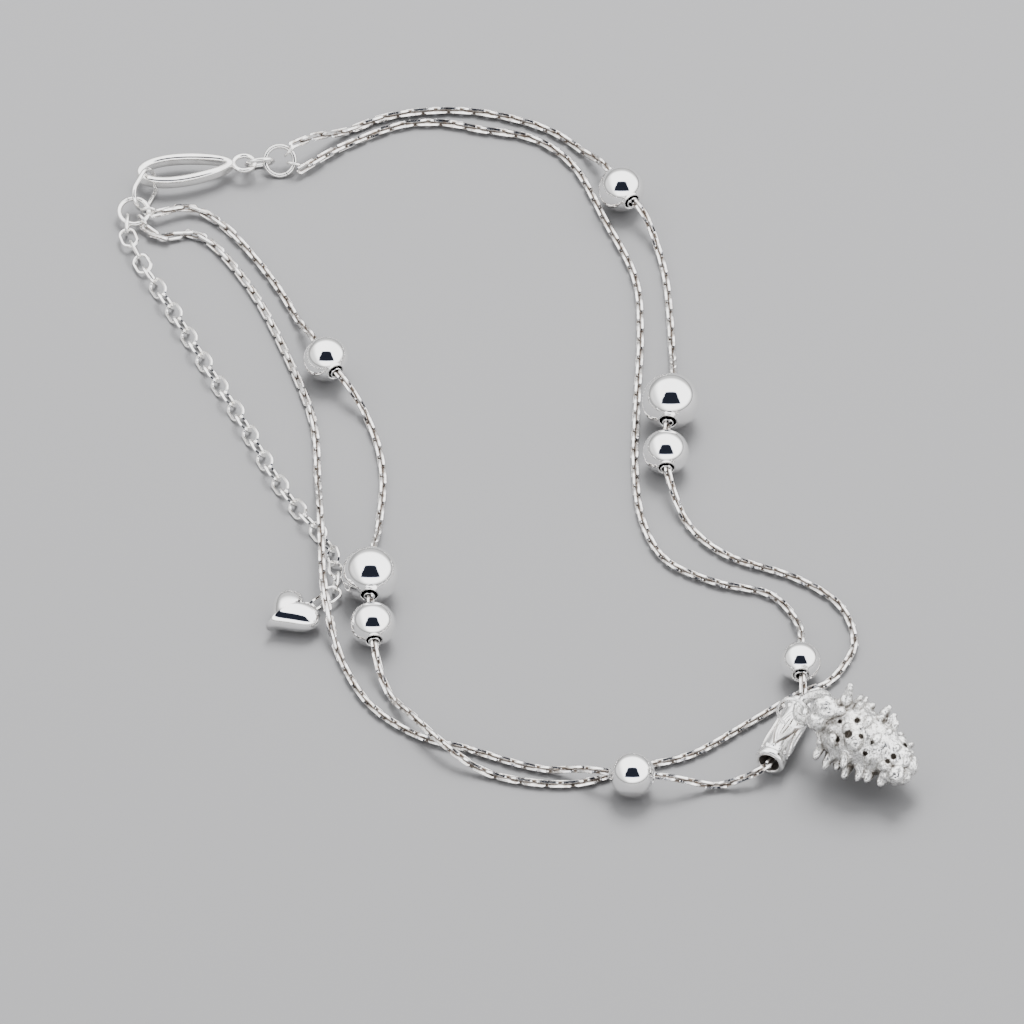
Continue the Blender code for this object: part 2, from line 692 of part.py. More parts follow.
def make_closure():
    """Both end rings with their links, and the clasp between them with its two rings."""
    for name, ring in (("end_ring_left", left_ring), ("end_ring_right", right_ring)):
        add_ring(name, ring, END_RING_D, END_RING_D, END_RING_WIRE)
    size = end_link_size()
    for strand in ("bead_strand", "charm_strand"):
        for side, ring, angle in zip(("left", "right"), (left_ring, right_ring), ENDS[strand]):
            add_ring(f"{strand}_link_{side}", end_link_place(ring, angle), size, size,
                     END_LINK_WIRE, 12)

    # From the right ring: the clasp's ring, then the clasp's eye and body
    way = Vector((math.cos(CLASP_WAY), math.sin(CLASP_WAY), 0))
    hinge = RIGHT_RING + way * linked_distance(END_RING_D, END_RING_WIRE,
                                               CLASP_RING_D, CLASP_RING_WIRE)
    hinge.z = leaning_height(CLASP_RING_D, CLASP_RING_WIRE, CLASP_RING_ROLL)
    add_ring("clasp_ring", leaning_place(hinge, CLASP_WAY + math.pi, CLASP_RING_ROLL),
             CLASP_RING_D, CLASP_RING_D, CLASP_RING_WIRE)
    eye = hinge + way * linked_distance(CLASP_RING_D, CLASP_RING_WIRE, CLASP_EYE_D, CLASP_EYE_WIRE)
    eye.z = leaning_height(CATCH_WIDTH, CATCH_WIRE, CATCH_ROLL)
    eye_reach = (CLASP_EYE_D - CLASP_EYE_WIRE) / 2
    clasp = ring_place(eye + way * (eye_reach + CLASP_LENGTH / 2), way, UP.cross(way))
    make_clasp(clasp, eye_reach)

    # The oval link between the clasp's bar and the left ring
    hook = clasp @ clasp_line(CLASP_HOOK, CLASP_BAR / 2)
    span = (hook - LEFT_RING).xy
    near = END_RING_D / 2 - END_RING_WIRE - CLEARANCE
    far = span.length + CLASP_BAR / 2 + CLEARANCE
    middle = LEFT_RING + Vector((*span.normalized(), 0)) * (near + far) / 2
    middle.z = eye.z
    add_ring("catch_link", leaning_place(middle, math.atan2(span.y, span.x), CATCH_ROLL),
             far - near + 2 * CATCH_WIRE, CATCH_WIDTH, CATCH_WIRE, 18)


for old in list(bpy.data.objects):
    bpy.data.objects.remove(old, do_unlink=True)
anklet = new_collection("charm_anklet")
helpers = new_collection("helpers")
left_ring = leaning_place(LEFT_RING, 0, LEFT_RING_LEAN)
right_ring = leaning_place(RIGHT_RING, 0, RIGHT_RING_LEAN)
paths = make_paths()
make_strand("bead_strand")
make_strand("charm_strand")
for bead in BEADS:
    make_bead(*bead)
charm_ring_middle = make_tube()
make_pine_cone(charm_ring_middle)
make_heart()
make_extender()
make_closure()
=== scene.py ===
"""Charm anklet in polished, drawn and cast silver, lying flat and fastened on a pale floor."""

import math
from bisect import bisect_left

import bmesh
import bpy
from mathutils import Matrix, Vector, noise
from mathutils.bvhtree import BVHTree


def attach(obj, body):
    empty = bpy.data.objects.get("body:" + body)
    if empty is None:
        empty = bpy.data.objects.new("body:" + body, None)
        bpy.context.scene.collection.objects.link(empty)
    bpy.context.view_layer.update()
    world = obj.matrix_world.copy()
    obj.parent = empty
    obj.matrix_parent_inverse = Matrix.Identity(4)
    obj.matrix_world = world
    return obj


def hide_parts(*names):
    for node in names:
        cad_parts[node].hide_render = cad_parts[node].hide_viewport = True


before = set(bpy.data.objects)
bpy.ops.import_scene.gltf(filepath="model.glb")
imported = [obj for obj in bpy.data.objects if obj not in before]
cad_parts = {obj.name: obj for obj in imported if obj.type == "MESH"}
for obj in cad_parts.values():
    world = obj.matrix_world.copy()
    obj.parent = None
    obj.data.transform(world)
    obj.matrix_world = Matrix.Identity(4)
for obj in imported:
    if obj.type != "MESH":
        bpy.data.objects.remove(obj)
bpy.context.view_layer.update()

# The two end rings
# Jump rings of drawn silver wire that gather the chains at each side of the clasp. Each is bent
# round a rod and its two ends are pushed together, so a fine slit shows where they meet.
MM = 0.001
UP = Vector((0, 0, 1))
RING_D = 3.0 * MM
RING_WIRE = 0.42 * MM
LEFT_RING = Vector((-33.1, 29.5, 1.02)) * MM
RIGHT_RING = Vector((-20.35, 35.7, 1.13)) * MM


def ring_place(centre, axis, side):
    """The place of a ring whose X runs along the axis and whose Y runs to the side."""
    axis = axis.normalized()
    normal = axis.cross(side).normalized()
    place = Matrix((axis, normal.cross(axis), normal)).transposed().to_4x4()
    place.translation = centre
    return place


def leaning_place(centre, heading, lean):
    """The place of a ring whose X runs level this way and whose Y leans up by this angle."""
    way = Vector((math.cos(heading), math.sin(heading), 0))
    return ring_place(centre, way, UP.cross(way) * math.cos(lean) + UP * math.sin(lean))


def start_alone():
    """Nothing is selected, so that the next tool acts on the new piece only."""
    if bpy.context.object and bpy.context.object.mode != "OBJECT":
        bpy.ops.object.mode_set(mode="OBJECT")
    bpy.ops.object.select_all(action="DESELECT")


def select_where(piece, kind, test):
    """In edit mode, selects the piece's verts, edges or faces that pass the test."""
    bpy.ops.mesh.select_mode(type=kind)
    bpy.ops.mesh.select_all(action="DESELECT")
    shape = bmesh.from_edit_mesh(piece.data)
    for part in {"VERT": shape.verts, "EDGE": shape.edges, "FACE": shape.faces}[kind]:
        if test(part):
            part.select_set(True)
    shape.select_flush_mode()
    bmesh.update_edit_mesh(piece.data)


def bent_wire(name, length, width, wire, around=64, sides=12, slit=None):
    """A ring or oval link of round wire in X and Y, with a slit at this angle or soldered shut."""
    start_alone()
    bpy.ops.mesh.primitive_torus_add(
        major_segments=around, minor_segments=sides, location=(0, 0, 0),
        major_radius=(width - wire) / 2, minor_radius=wire / 2)
    ring = bpy.context.object
    ring.name = ring.data.name = name
    bpy.ops.object.mode_set(mode="EDIT")
    if slit is not None:
        half = math.pi / around

        def at_slit(face):
            spot = face.calc_center_median()
            turn = math.atan2(spot.y, spot.x) - slit
            return abs((turn + math.pi) % (2 * math.pi) - math.pi) < half

        select_where(ring, "FACE", at_slit)
        bpy.ops.mesh.delete(type="FACE")
        bpy.ops.mesh.select_all(action="SELECT")
        bpy.ops.mesh.fill_holes(sides=sides)
    if length > width:
        stretch = (length - width) / 2
        for way in (-1, 1):
            select_where(ring, "VERT", lambda vert: vert.co.x * way > 0)
            bpy.ops.transform.translate(value=(way * stretch, 0, 0))
    bpy.ops.object.mode_set(mode="OBJECT")
    bpy.ops.object.shade_smooth_by_angle(angle=math.radians(50))
    return ring


def silver_wear_and_dark_reflection():
    """What handling leaves on silver: soft tarnish stains, fine scratches and a slightly uneven
    skin. Where a finish makes the stains dense and dark, they are painted reflection of dark
    surroundings in grainy metal.
    """
    group = bpy.data.node_groups.new("Silver wear and dark reflection", "ShaderNodeTree")
    face = group.interface
    for label, kind, value in (
        ("Silver", "NodeSocketColor", (0.95, 0.94, 0.92, 1)),
        ("Tarnish and dark reflection", "NodeSocketColor", (0.55, 0.5, 0.45, 1)),
        ("Tarnish and dark reflection amount", "NodeSocketFloat", 0.2),
        ("Tarnish and dark reflection size", "NodeSocketFloat", 700.0),
        ("Smoothest", "NodeSocketFloat", 0.05),
        ("Roughest", "NodeSocketFloat", 0.12),
        ("Scratch size", "NodeSocketFloat", 9000.0),
    ):
        face.new_socket(label, in_out="INPUT", socket_type=kind).default_value = value
    face.new_socket("Colour", in_out="OUTPUT", socket_type="NodeSocketColor")
    face.new_socket("Roughness", in_out="OUTPUT", socket_type="NodeSocketFloat")
    face.new_socket("Height", in_out="OUTPUT", socket_type="NodeSocketFloat")
    nodes, links = group.nodes, group.links
    given = nodes.new("NodeGroupInput")
    out = nodes.new("NodeGroupOutput")
    place = nodes.new("ShaderNodeTexCoord")

    tarnish_and_dark_reflections = nodes.new("ShaderNodeTexNoise")
    tarnish_and_dark_reflections.inputs["Detail"].default_value = 4
    links.new(place.outputs["Object"], tarnish_and_dark_reflections.inputs["Vector"])
    links.new(given.outputs["Tarnish and dark reflection size"], tarnish_and_dark_reflections.inputs["Scale"])
    patch = nodes.new("ShaderNodeMapRange")
    patch.interpolation_type = "SMOOTHSTEP"
    patch.inputs["From Min"].default_value = 0.42
    patch.inputs["From Max"].default_value = 0.72
    links.new(tarnish_and_dark_reflections.outputs["Fac"], patch.inputs["Value"])
    amount = nodes.new("ShaderNodeMath")
    amount.operation = "MULTIPLY"
    links.new(patch.outputs["Result"], amount.inputs[0])
    links.new(given.outputs["Tarnish and dark reflection amount"], amount.inputs[1])
    colour = nodes.new("ShaderNodeMix")
    colour.data_type = "RGBA"
    links.new(amount.outputs["Value"], colour.inputs["Factor"])
    links.new(given.outputs["Silver"], colour.inputs["A"])
    links.new(given.outputs["Tarnish and dark reflection"], colour.inputs["B"])
    links.new(colour.outputs["Result"], out.inputs["Colour"])

    streaks = nodes.new("ShaderNodeMapping")
    streaks.inputs["Scale"].default_value = (1.0, 0.22, 0.6)
    streaks.inputs["Rotation"].default_value = (0.4, 0.2, 0.7)
    links.new(place.outputs["Object"], streaks.inputs["Vector"])
    scratch = nodes.new("ShaderNodeTexNoise")
    scratch.inputs["Detail"].default_value = 3
    links.new(streaks.outputs["Vector"], scratch.inputs["Vector"])
    links.new(given.outputs["Scratch size"], scratch.inputs["Scale"])
    rough = nodes.new("ShaderNodeMapRange")
    rough.inputs["From Min"].default_value = 0.35
    rough.inputs["From Max"].default_value = 0.7
    links.new(scratch.outputs["Fac"], rough.inputs["Value"])
    links.new(given.outputs["Smoothest"], rough.inputs["To Min"])
    links.new(given.outputs["Roughest"], rough.inputs["To Max"])
    links.new(rough.outputs["Result"], out.inputs["Roughness"])
    links.new(scratch.outputs["Fac"], out.inputs["Height"])
    return group


WEAR_AND_DARK_REFLECTION = silver_wear_and_dark_reflection()


def silver_finish(name, silver, tarnish_and_dark_reflection, amount, tarnish_and_dark_reflection_size, rough, scratch_size, relief):
    """A silver finish with its own wear and tarnish, which a finish can make dense and dark as
    painted reflection; relief is the depth of the scratches in millimetres.
    """
    made = bpy.data.materials.new(name)
    made.use_nodes = True
    nodes, links = made.node_tree.nodes, made.node_tree.links
    shader = nodes["Principled BSDF"]
    shader.inputs["Metallic"].default_value = 1.0
    wear = nodes.new("ShaderNodeGroup")
    wear.node_tree = WEAR_AND_DARK_REFLECTION
    wear.name = "Wear"
    values = ((*silver, 1), (*tarnish_and_dark_reflection, 1), amount, tarnish_and_dark_reflection_size, *rough, scratch_size)
    for socket, value in zip(wear.inputs, values):
        socket.default_value = value
    links.new(wear.outputs["Colour"], shader.inputs["Base Color"])
    links.new(wear.outputs["Roughness"], shader.inputs["Roughness"])
    bump = nodes.new("ShaderNodeBump")
    bump.inputs["Distance"].default_value = relief * MM
    links.new(wear.outputs["Height"], bump.inputs["Height"])
    links.new(bump.outputs["Normal"], shader.inputs["Normal"])
    return made


def put_on(piece, node, finish):
    """Gives the finished piece its finish, and it takes the plain solid's place."""
    piece.data.materials.clear()
    piece.data.materials.append(finish)
    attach(piece, "root")
    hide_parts(node)


drawn_wire = silver_finish("Drawn silver wire", (0.93, 0.92, 0.9), (0.5, 0.46, 0.42), 0.3, 900,
                           (0.07, 0.2), 6000, 0.004)
left_ring = leaning_place(LEFT_RING, 0, math.radians(15))
right_ring = leaning_place(RIGHT_RING, 0, math.radians(45))
for side, place, slit in (("left", left_ring, 2.0), ("right", right_ring, -1.1)):
    ring = bent_wire(f"fine_end_ring_{side}", RING_D, RING_D, RING_WIRE, 96, 14, slit)
    ring.data.transform(place)
    put_on(ring, f"end_ring_{side}", drawn_wire)

# The small links at the chains' ends
# Four tiny soldered rings of thin wire. Each goes round an end ring and through the last link of
# a chain, so that the chain can turn.
END_LINK_WIRE = 0.26 * MM
END_LINK_ROOM = 0.3 * MM
END_LINK_D = RING_WIRE + 2 * (END_LINK_ROOM + END_LINK_WIRE)
CHAIN_ENDS = {
    "bead_strand": (math.radians(-2), math.radians(44)),
    "charm_strand": (math.radians(-55), math.radians(-12)),
}


def end_link_place(ring, angle):
    """The place of the small link at this angle of a ring, centred on the ring's wire."""
    radial = ring.to_3x3() @ Vector((math.cos(angle), math.sin(angle), 0))
    spot = ring.translation + radial * (RING_D - RING_WIRE) / 2
    return ring_place(spot, radial, ring.to_3x3() @ UP)


for strand, angles in CHAIN_ENDS.items():
    for side, ring_at, angle in zip(("left", "right"), (left_ring, right_ring), angles):
        name = f"fine_{strand}_link_{side}"
        link = bent_wire(name, END_LINK_D, END_LINK_D, END_LINK_WIRE, 40, 10)
        link.data.transform(end_link_place(ring_at, angle))
        put_on(link, f"{strand}_link_{side}", drawn_wire)

# The two fine chains
# Narrow oval links of drawn wire, each a quarter turn from the next and pressed close, so that
# the slits show in two staggered rows. They run side by side from ring to ring, and one of them
# is twisted open near the left ring.
LINK_STEP = 1.13 * MM
LINK_WIDTH = 0.8 * MM
LINK_WIRE = 0.33 * MM
LINK_LENGTH = 2 * LINK_STEP - 0.06 * MM
LINK_END = 0.5
CHAIN_D = 0.8 * MM
LIFT_RUN = 6.0 * MM
CROSSING_ROOM = 0.3 * MM

# The routes, as x and y in millimetres on the floor
ROUTES = {
    "bead_strand": [
        (-29.3, 29.9), (-27.5, 30.0), (-24.6, 27.5), (-20.3, 20.3), (-16.2, 10.2),
        (-12.7, 4.5), (-11.3, -2.0), (-11.6, -9.0), (-12.3, -16.9), (-12.1, -22.5),
        (-11.4, -27.5), (-8.9, -32.6), (-5.0, -37.4), (0.0, -39.8), (5.5, -40.3),
        (10.2, -38.5), (15.5, -36.8), (20.6, -32.9), (25.0, -29.3), (26.9, -28.4), (28.4, -26.6),
        (29.7, -23.0), (28.4, -18.5), (24.6, -15.2), (18.8, -12.5), (15.5, -8.9),
        (13.6, -3.8), (13.5, 1.8), (14.0, 6.0), (14.0, 12.0), (13.4, 22.0),
        (12.0, 27.5), (9.6, 31.3), (7.0, 36.5), (3.0, 40.4), (-3.4, 42.6),
        (-9.7, 42.3), (-14.3, 40.2),
    ],
    "charm_strand": [
        (-30.6, 26.7), (-28.4, 27.3), (-25.9, 25.6), (-22.3, 19.3), (-19.0, 10.2),
        (-17.3, 3.6), (-16.9, -3.5), (-16.6, -11.4), (-16.3, -18.5), (-15.1, -24.3),
        (-12.5, -30.4), (-8.4, -34.3), (-3.6, -36.2), (1.0, -38.1), (5.0, -39.1),
        (8.3, -40.5), (12.3, -41.0), (16.0, -40.8), (20.0, -40.2), (22.2, -38.8), (23.6, -35.3),
        (25.0, -31.8), (25.2, -29.6), (25.0, -26.9), (24.9, -21.5), (22.6, -17.4),
        (17.6, -15.7), (13.4, -13.0), (11.3, -8.0), (10.7, -1.2), (10.9, 6.6),
        (11.2, 15.2), (10.7, 22.0), (8.2, 28.9), (5.5, 35.6), (2.0, 39.1),
        (-2.9, 40.4), (-6.3, 41.2), (-10.0, 40.8), (-14.6, 38.3),
    ],
    "extender_chain": [
        (-15.5, -17.3), (-15.3, -15.2), (-15.6, -12.6), (-16.9, -9.7), (-18.9, -6.5),
        (-21.1, -2.0), (-23.7, 4.3), (-26.6, 10.6), (-29.4, 17.0), (-32.0, 22.6),
        (-33.6, 26.6),
    ],
}

# Each bead's chain, where on it the bead sits, in millimetres, and its diameter
BEADS = {
    "bead_1": ("bead_strand", (-16.2, 10.2), 4.0 * MM),
    "bead_2": ("bead_strand", (-12.3, -16.9), 5.0 * MM),
    "bead_3": ("bead_strand", (-12.1, -22.5), 4.0 * MM),
    "bead_4": ("bead_strand", (13.1, -1.2), 4.0 * MM),
    "bead_5": ("bead_strand", (14.0, 4.5), 5.0 * MM),
    "bead_6": ("bead_strand", (9.6, 31.3), 4.0 * MM),
    "bead_7": ("charm_strand", (10.3, -40.8), 4.0 * MM),
    "bead_8": ("charm_strand", (25.0, -26.9), 3.6 * MM),
}
BEAD_PAIRS = (("bead_2", "bead_3"), ("bead_4", "bead_5"))
TUBE_MIDDLE = (23.6, -35.3)
TUBE_LENGTH = 7.4 * MM
TUBE_FLANGE_D = 2.7 * MM
OVAL_WIDTH = 1.6 * MM


class ChainWay:
    """A chain's way over the floor, with the places where something lifts it."""

    def __init__(self, start, route, end, rest_height):
        corners = [start.xy, *(Vector(spot) * MM for spot in route), end.xy]
        padded = [2 * corners[0] - corners[1], *corners, 2 * corners[-1] - corners[-2]]
        self.plan = []
        for a, b, c, d in zip(padded, padded[1:], padded[2:], padded[3:]):
            steps = max(2, math.ceil((c - b).length / (0.25 * MM)))
            for i in range(steps):
                t = i / steps
                self.plan.append(0.5 * (2 * b + (c - a) * t + (2 * a - 5 * b + 4 * c - d) * t**2
                                        + (3 * b - a - 3 * c + d) * t**3))
        self.plan.append(corners[-1])
        self.along = [0.0]
        for a, b in zip(self.plan, self.plan[1:]):
            self.along.append(self.along[-1] + (b - a).length)
        self.length = self.along[-1]
        self.rest_height = rest_height
        self.lifts = [(0, 0, start.z, start.z), (self.length, self.length, end.z, end.z)]

    def nearest(self, spot):
        """How far along the way lies the point nearest to this spot, in millimetres."""
        spot = Vector(spot) * MM
        return min(zip(self.plan, self.along), key=lambda step: (step[0] - spot).length)[1]

    def height(self, distance):
        best = self.rest_height
        for start, end, low, high in self.lifts:
            share = (distance - start) / max(end - start, 0.01 * MM)
            inside = low + (high - low) * min(max(share, 0), 1)
            gone = min(max(start - distance, distance - end, 0) / LIFT_RUN, 1)
            ease = 1 - gone * gone * (3 - 2 * gone)
            best = max(best, self.rest_height + (inside - self.rest_height) * ease)
        return best

    def point(self, distance):
        """The middle of the chain this far from its start."""
        distance = min(max(distance, 0), self.length)
        i = min(max(bisect_left(self.along, distance), 1), len(self.along) - 1)
        a, b = self.plan[i - 1], self.plan[i]
        x, y = a + (b - a) * (distance - self.along[i - 1]) / (self.along[i] - self.along[i - 1])
        return Vector((x, y, self.height(distance)))

    def direction(self, distance, reach=0.5 * MM):
        return (self.point(distance + reach) - self.point(distance - reach)).normalized()


# The first and last link of each chain go through the small end links
HOOK = 1.09 * MM
ways = {}
for strand, (left, right) in CHAIN_ENDS.items():
    start = end_link_place(left_ring, left) @ Vector((HOOK, 0, 0))
    end = end_link_place(right_ring, right) @ Vector((HOOK, 0, 0))
    ways[strand] = ChainWay(start, ROUTES[strand], end, CHAIN_D / 2)

# Beads lift their chain to their middle; the tube does too, and so does a chain that is crossed
middles = {name: (strand, ways[strand].nearest(spot), size)
           for name, (strand, spot, size) in BEADS.items()}
for first, second in BEAD_PAIRS:
    strand, at_a, size_a = middles.pop(first)
    at_b, size_b = middles.pop(second)[1:]
    slope = (size_b - size_a) / 2 / (at_b - at_a)
    start, end = at_a - size_a / 2, at_b + size_b / 2
    ways[strand].lifts.append((start, end, size_a / 2 + slope * (start - at_a),
                               size_b / 2 + slope * (end - at_b)))
for strand, at, size in middles.values():
    ways[strand].lifts.append((at - size / 2, at + size / 2, size / 2, size / 2))
charm_way = ways["charm_strand"]
tube_at = charm_way.nearest(TUBE_MIDDLE)
charm_way.lifts.append((tube_at - TUBE_LENGTH / 2, tube_at + TUBE_LENGTH / 2,
                        TUBE_FLANGE_D / 2, TUBE_FLANGE_D / 2))
for strand, start, end, below in (
    ("bead_strand", (-8.0, -34.2), (-6.3, -36.3), CHAIN_D),
    ("charm_strand", (-16.8, -8.8), (-16.3, -19.2), OVAL_WIDTH),
):
    way = ways[strand]
    top = below + CROSSING_ROOM + CHAIN_D / 2
    way.lifts.append((way.nearest(start), way.nearest(end), top, top))

# How far each chain is twisted out of the place where both its rows of links show alike, as rows
# of (distance in millimetres, degrees)
TWISTS = {
    "bead_strand": [(12, 2), (40, -7), (75, 10), (110, -5), (150, 7), (205, -1)],
    "charm_strand": [(5, -44), (27, -46), (33, -9), (48, 5), (56, -35), (62, 3), (100, -7),
                     (150, 8), (200, -3)],
}
VIEW = Vector((0, 1, -1)).normalized()


def between(rows, at):
    """A value read from rows of (place, value), eased from row to row."""
    if at <= rows[0][0]:
        return rows[0][1]
    for (a, low), (b, high) in zip(rows, rows[1:]):
        if at <= b:
            share = (at - a) / (b - a)
            return low + (high - low) * share * share * (3 - 2 * share)
    return rows[-1][1]


def across_angle(way, across):
    """The angle from level of a link that lies across like this, for a chain that runs this way."""
    level = UP.cross(way).normalized()
    return math.degrees(math.atan2(across.dot(way.cross(level)), across.dot(level)))


def link_place(point, way, angle):
    """The place of a link that runs this way and leans by this angle."""
    level = UP.cross(way).normalized()
    lean = math.radians(angle)
    return ring_place(point, way, level * math.cos(lean) + way.cross(level) * math.sin(lean))


def join_pieces(pieces):
    """Joins the pieces into the first of them."""
    start_alone()
    for piece in pieces:
        piece.select_set(True)
    bpy.context.view_layer.objects.active = pieces[0]
    bpy.ops.object.join()
    return pieces[0]


def join_copies(pattern, places, name):
    """Copies of one piece, each with its own mesh, joined into one piece."""
    copies = []
    for place in places:
        copy = pattern.copy()
        copy.data = pattern.data.copy()
        copy.data.transform(place)
        bpy.context.collection.objects.link(copy)
        copies.append(copy)
    bpy.data.objects.remove(pattern)
    whole = join_pieces(copies)
    whole.name = whole.data.name = name
    return whole


def chain_link():
    """One narrow link, pressed flat at its ends so that the next ones fit through it."""
    link = bent_wire("chain_link", LINK_LENGTH, LINK_WIDTH, LINK_WIRE, 10, 6)
    straight = (LINK_LENGTH - LINK_WIDTH) / 2
    bpy.ops.object.mode_set(mode="EDIT")
    for way in (-1, 1):
        select_where(link, "VERT", lambda vert: vert.co.x * way - straight > abs(vert.co.y) * 0.9)
        bpy.ops.transform.resize(value=(1, 1, LINK_END))
    bpy.ops.object.mode_set(mode="OBJECT")
    return link


def smooth_step(value):
    value = min(max(value, 0), 1)
    return value * value * (3 - 2 * value)


def hidden_shares(piece, reach, rays=14):
    """For each point, the share of the ways out of the surface that meet the piece again."""
    whole = BVHTree.FromObject(piece, bpy.context.evaluated_depsgraph_get())
    ways = []
    for k in range(rays):
        rise = 0.25 + 0.75 * (k + 0.5) / rays
        turn = k * math.radians(137.5)
        flat = math.sqrt(1 - rise * rise)
        ways.append(Vector((flat * math.cos(turn), flat * math.sin(turn), rise)))
    shares = []
    for vert in piece.data.vertices:
        turned = vert.normal.to_track_quat("Z", "Y")
        start = vert.co + vert.normal * 0.02 * MM
        met = sum(whole.ray_cast(start, turned @ way, reach)[0] is not None for way in ways)
        shares.append(met / rays)
    return shares


def add_recess_shade_mask(piece, depths):
    """Stores the mask for painted shade: how deep each point lies in the carving, from 0 on top to 1
    at the bottom.
    """
    mask = piece.data.attributes.new("recess", "FLOAT", "POINT")
    mask.data.foreach_set("value", depths)


def paint_shade_in_recesses(finish, dark, strength):
    """Paints shade into the hollows: where the recess mask is high, the colour turns dark and the
    metal rougher.
    """
    nodes, links = finish.node_tree.nodes, finish.node_tree.links
    shader, wear = nodes["Principled BSDF"], nodes["Wear"]
    mask = nodes.new("ShaderNodeAttribute")
    mask.attribute_name = "recess"
    level = nodes.new("ShaderNodeMath")
    level.operation = "MULTIPLY"
    level.inputs[1].default_value = strength
    links.new(mask.outputs["Fac"], level.inputs[0])
    mix = nodes.new("ShaderNodeMix")
    mix.data_type = "RGBA"
    mix.inputs["B"].default_value = (*dark, 1)
    links.new(level.outputs["Value"], mix.inputs["Factor"])
    links.new(wear.outputs["Colour"], mix.inputs["A"])
    links.new(mix.outputs["Result"], shader.inputs["Base Color"])
    rough = nodes.new("ShaderNodeMath")
    rough.operation = "MULTIPLY_ADD"
    rough.inputs[1].default_value = 0.35
    links.new(mask.outputs["Fac"], rough.inputs[0])
    links.new(wear.outputs["Roughness"], rough.inputs[2])
    links.new(rough.outputs["Value"], shader.inputs["Roughness"])


chain_silver = silver_finish("Fine chain silver", (0.97, 0.96, 0.95), (0.36, 0.3, 0.25), 0.7, 2200,
                             (0.1, 0.26), 5000, 0.01)
# Painted shade: the chains turn dark brown where the links hide each other.
paint_shade_in_recesses(chain_silver, (0.14, 0.1, 0.07), 0.9)
for strand, (left, right) in CHAIN_ENDS.items():
    way = ways[strand]
    count = round(way.length / LINK_STEP)
    ends = []
    for ring_at, angle, distance in ((left_ring, left, 0), (right_ring, right, way.length)):
        across = end_link_place(ring_at, angle).to_3x3() @ UP
        ends.append(across_angle(way.direction(distance), across))
    # The angle at which both rows of links show alike, for each link
    evens = [across_angle(way.direction(way.length * i / count, LINK_STEP), -VIEW) - 45
             for i in range(count + 1)]
    rows = TWISTS[strand]
    first = ends[0] - evens[0]
    last = ends[1] - evens[-1] - 90 * (count % 2)
    first += 180 * round((rows[0][1] - first) / 180)
    last += 180 * round((rows[-1][1] - last) / 180)
    rows = [(0, first), *rows, (way.length / MM, last)]
    places = []
    for i in range(count + 1):
        at = way.length * i / count
        angle = evens[i] + between(rows, at / MM) + 90 * (i % 2)
        point = way.point(at)
        lean = abs(math.sin(math.radians(angle)))
        point.z = max(point.z, (LINK_WIDTH - LINK_WIRE) / 2 * lean + LINK_WIRE / 2)
        places.append(link_place(point, way.direction(at, LINK_STEP), angle))
    chain = join_copies(chain_link(), places, "fine_" + strand)
    # Painted shade mask: the share of ways out of each point that meet the chain again within 0.6
    # mm.
    add_recess_shade_mask(chain, [smooth_step((hidden - 0.2) / 0.45)
                            for hidden in hidden_shares(chain, 0.6 * MM)])
    put_on(chain, strand, chain_silver)

# The round beads
# Hollow balls of polished silver, drilled through for the chain. The metal turns up at each hole
# into a small rounded lip.
BEAD_HOLE = 0.6 * MM
BEAD_LIP = 0.8 * MM


def run_in(steps):
    """From the selected open edge, new rings of faces; each step is (radius ratio, rise)."""
    for ratio, rise in steps:
        bpy.ops.mesh.extrude_region_move(TRANSFORM_OT_translate={"value": (0, 0, rise)})
        bpy.ops.transform.resize(value=(ratio, ratio, 1))


def weld(closest):
    """In edit mode, merges points closer than this, turns all faces outwards and leaves the mode."""
    bpy.ops.mesh.select_all(action="SELECT")
    bpy.ops.mesh.remove_doubles(threshold=closest)
    bpy.ops.mesh.normals_make_consistent(inside=False)
    bpy.ops.object.mode_set(mode="OBJECT")


def drilled_bead(name, size):
    """A ball cut off at the lip, turned in to the hole and mirrored."""
    radius = size / 2
    beside, cut = (math.sqrt(radius**2 - edge**2) for edge in (BEAD_LIP + 0.04 * MM, BEAD_LIP))
    start_alone()
    bpy.ops.mesh.primitive_uv_sphere_add(segments=72, ring_count=48, radius=radius,
                                         location=(0, 0, 0))
    bead = bpy.context.object
    bead.name = bead.data.name = name
    bpy.ops.object.mode_set(mode="EDIT")
    bpy.ops.mesh.select_all(action="SELECT")
    bpy.ops.mesh.bisect(plane_co=(0, 0, 0), plane_no=(0, 0, 1), clear_inner=True)
    bpy.ops.mesh.select_all(action="SELECT")
    bpy.ops.mesh.bisect(plane_co=(0, 0, beside), plane_no=(0, 0, 1))
    bpy.ops.mesh.select_all(action="SELECT")
    bpy.ops.mesh.bisect(plane_co=(0, 0, cut), plane_no=(0, 0, 1), clear_outer=True)
    lip = [(BEAD_LIP, cut), (0.78 * MM, cut + 0.02 * MM), (0.75 * MM, cut + 0.045 * MM),
           (0.71 * MM, cut + 0.06 * MM), (0.67 * MM, cut + 0.055 * MM),
           (0.63 * MM, cut + 0.03 * MM), (BEAD_HOLE, cut - 0.02 * MM),
           (BEAD_HOLE, cut - 0.12 * MM), (BEAD_HOLE, 0)]
    run_in([(b[0] / a[0], b[1] - a[1]) for a, b in zip(lip, lip[1:])])
    bpy.ops.object.mode_set(mode="OBJECT")
    mirror = bead.modifiers.new("Other half", "MIRROR")
    mirror.use_axis = (False, False, True)
    mirror.merge_threshold = 0.001 * MM
    bpy.ops.object.modifier_apply(modifier=mirror.name)
    bpy.ops.object.mode_set(mode="EDIT")
    weld(0.0005 * MM)
    bpy.ops.object.shade_smooth_by_angle(angle=math.radians(60))
    return bead


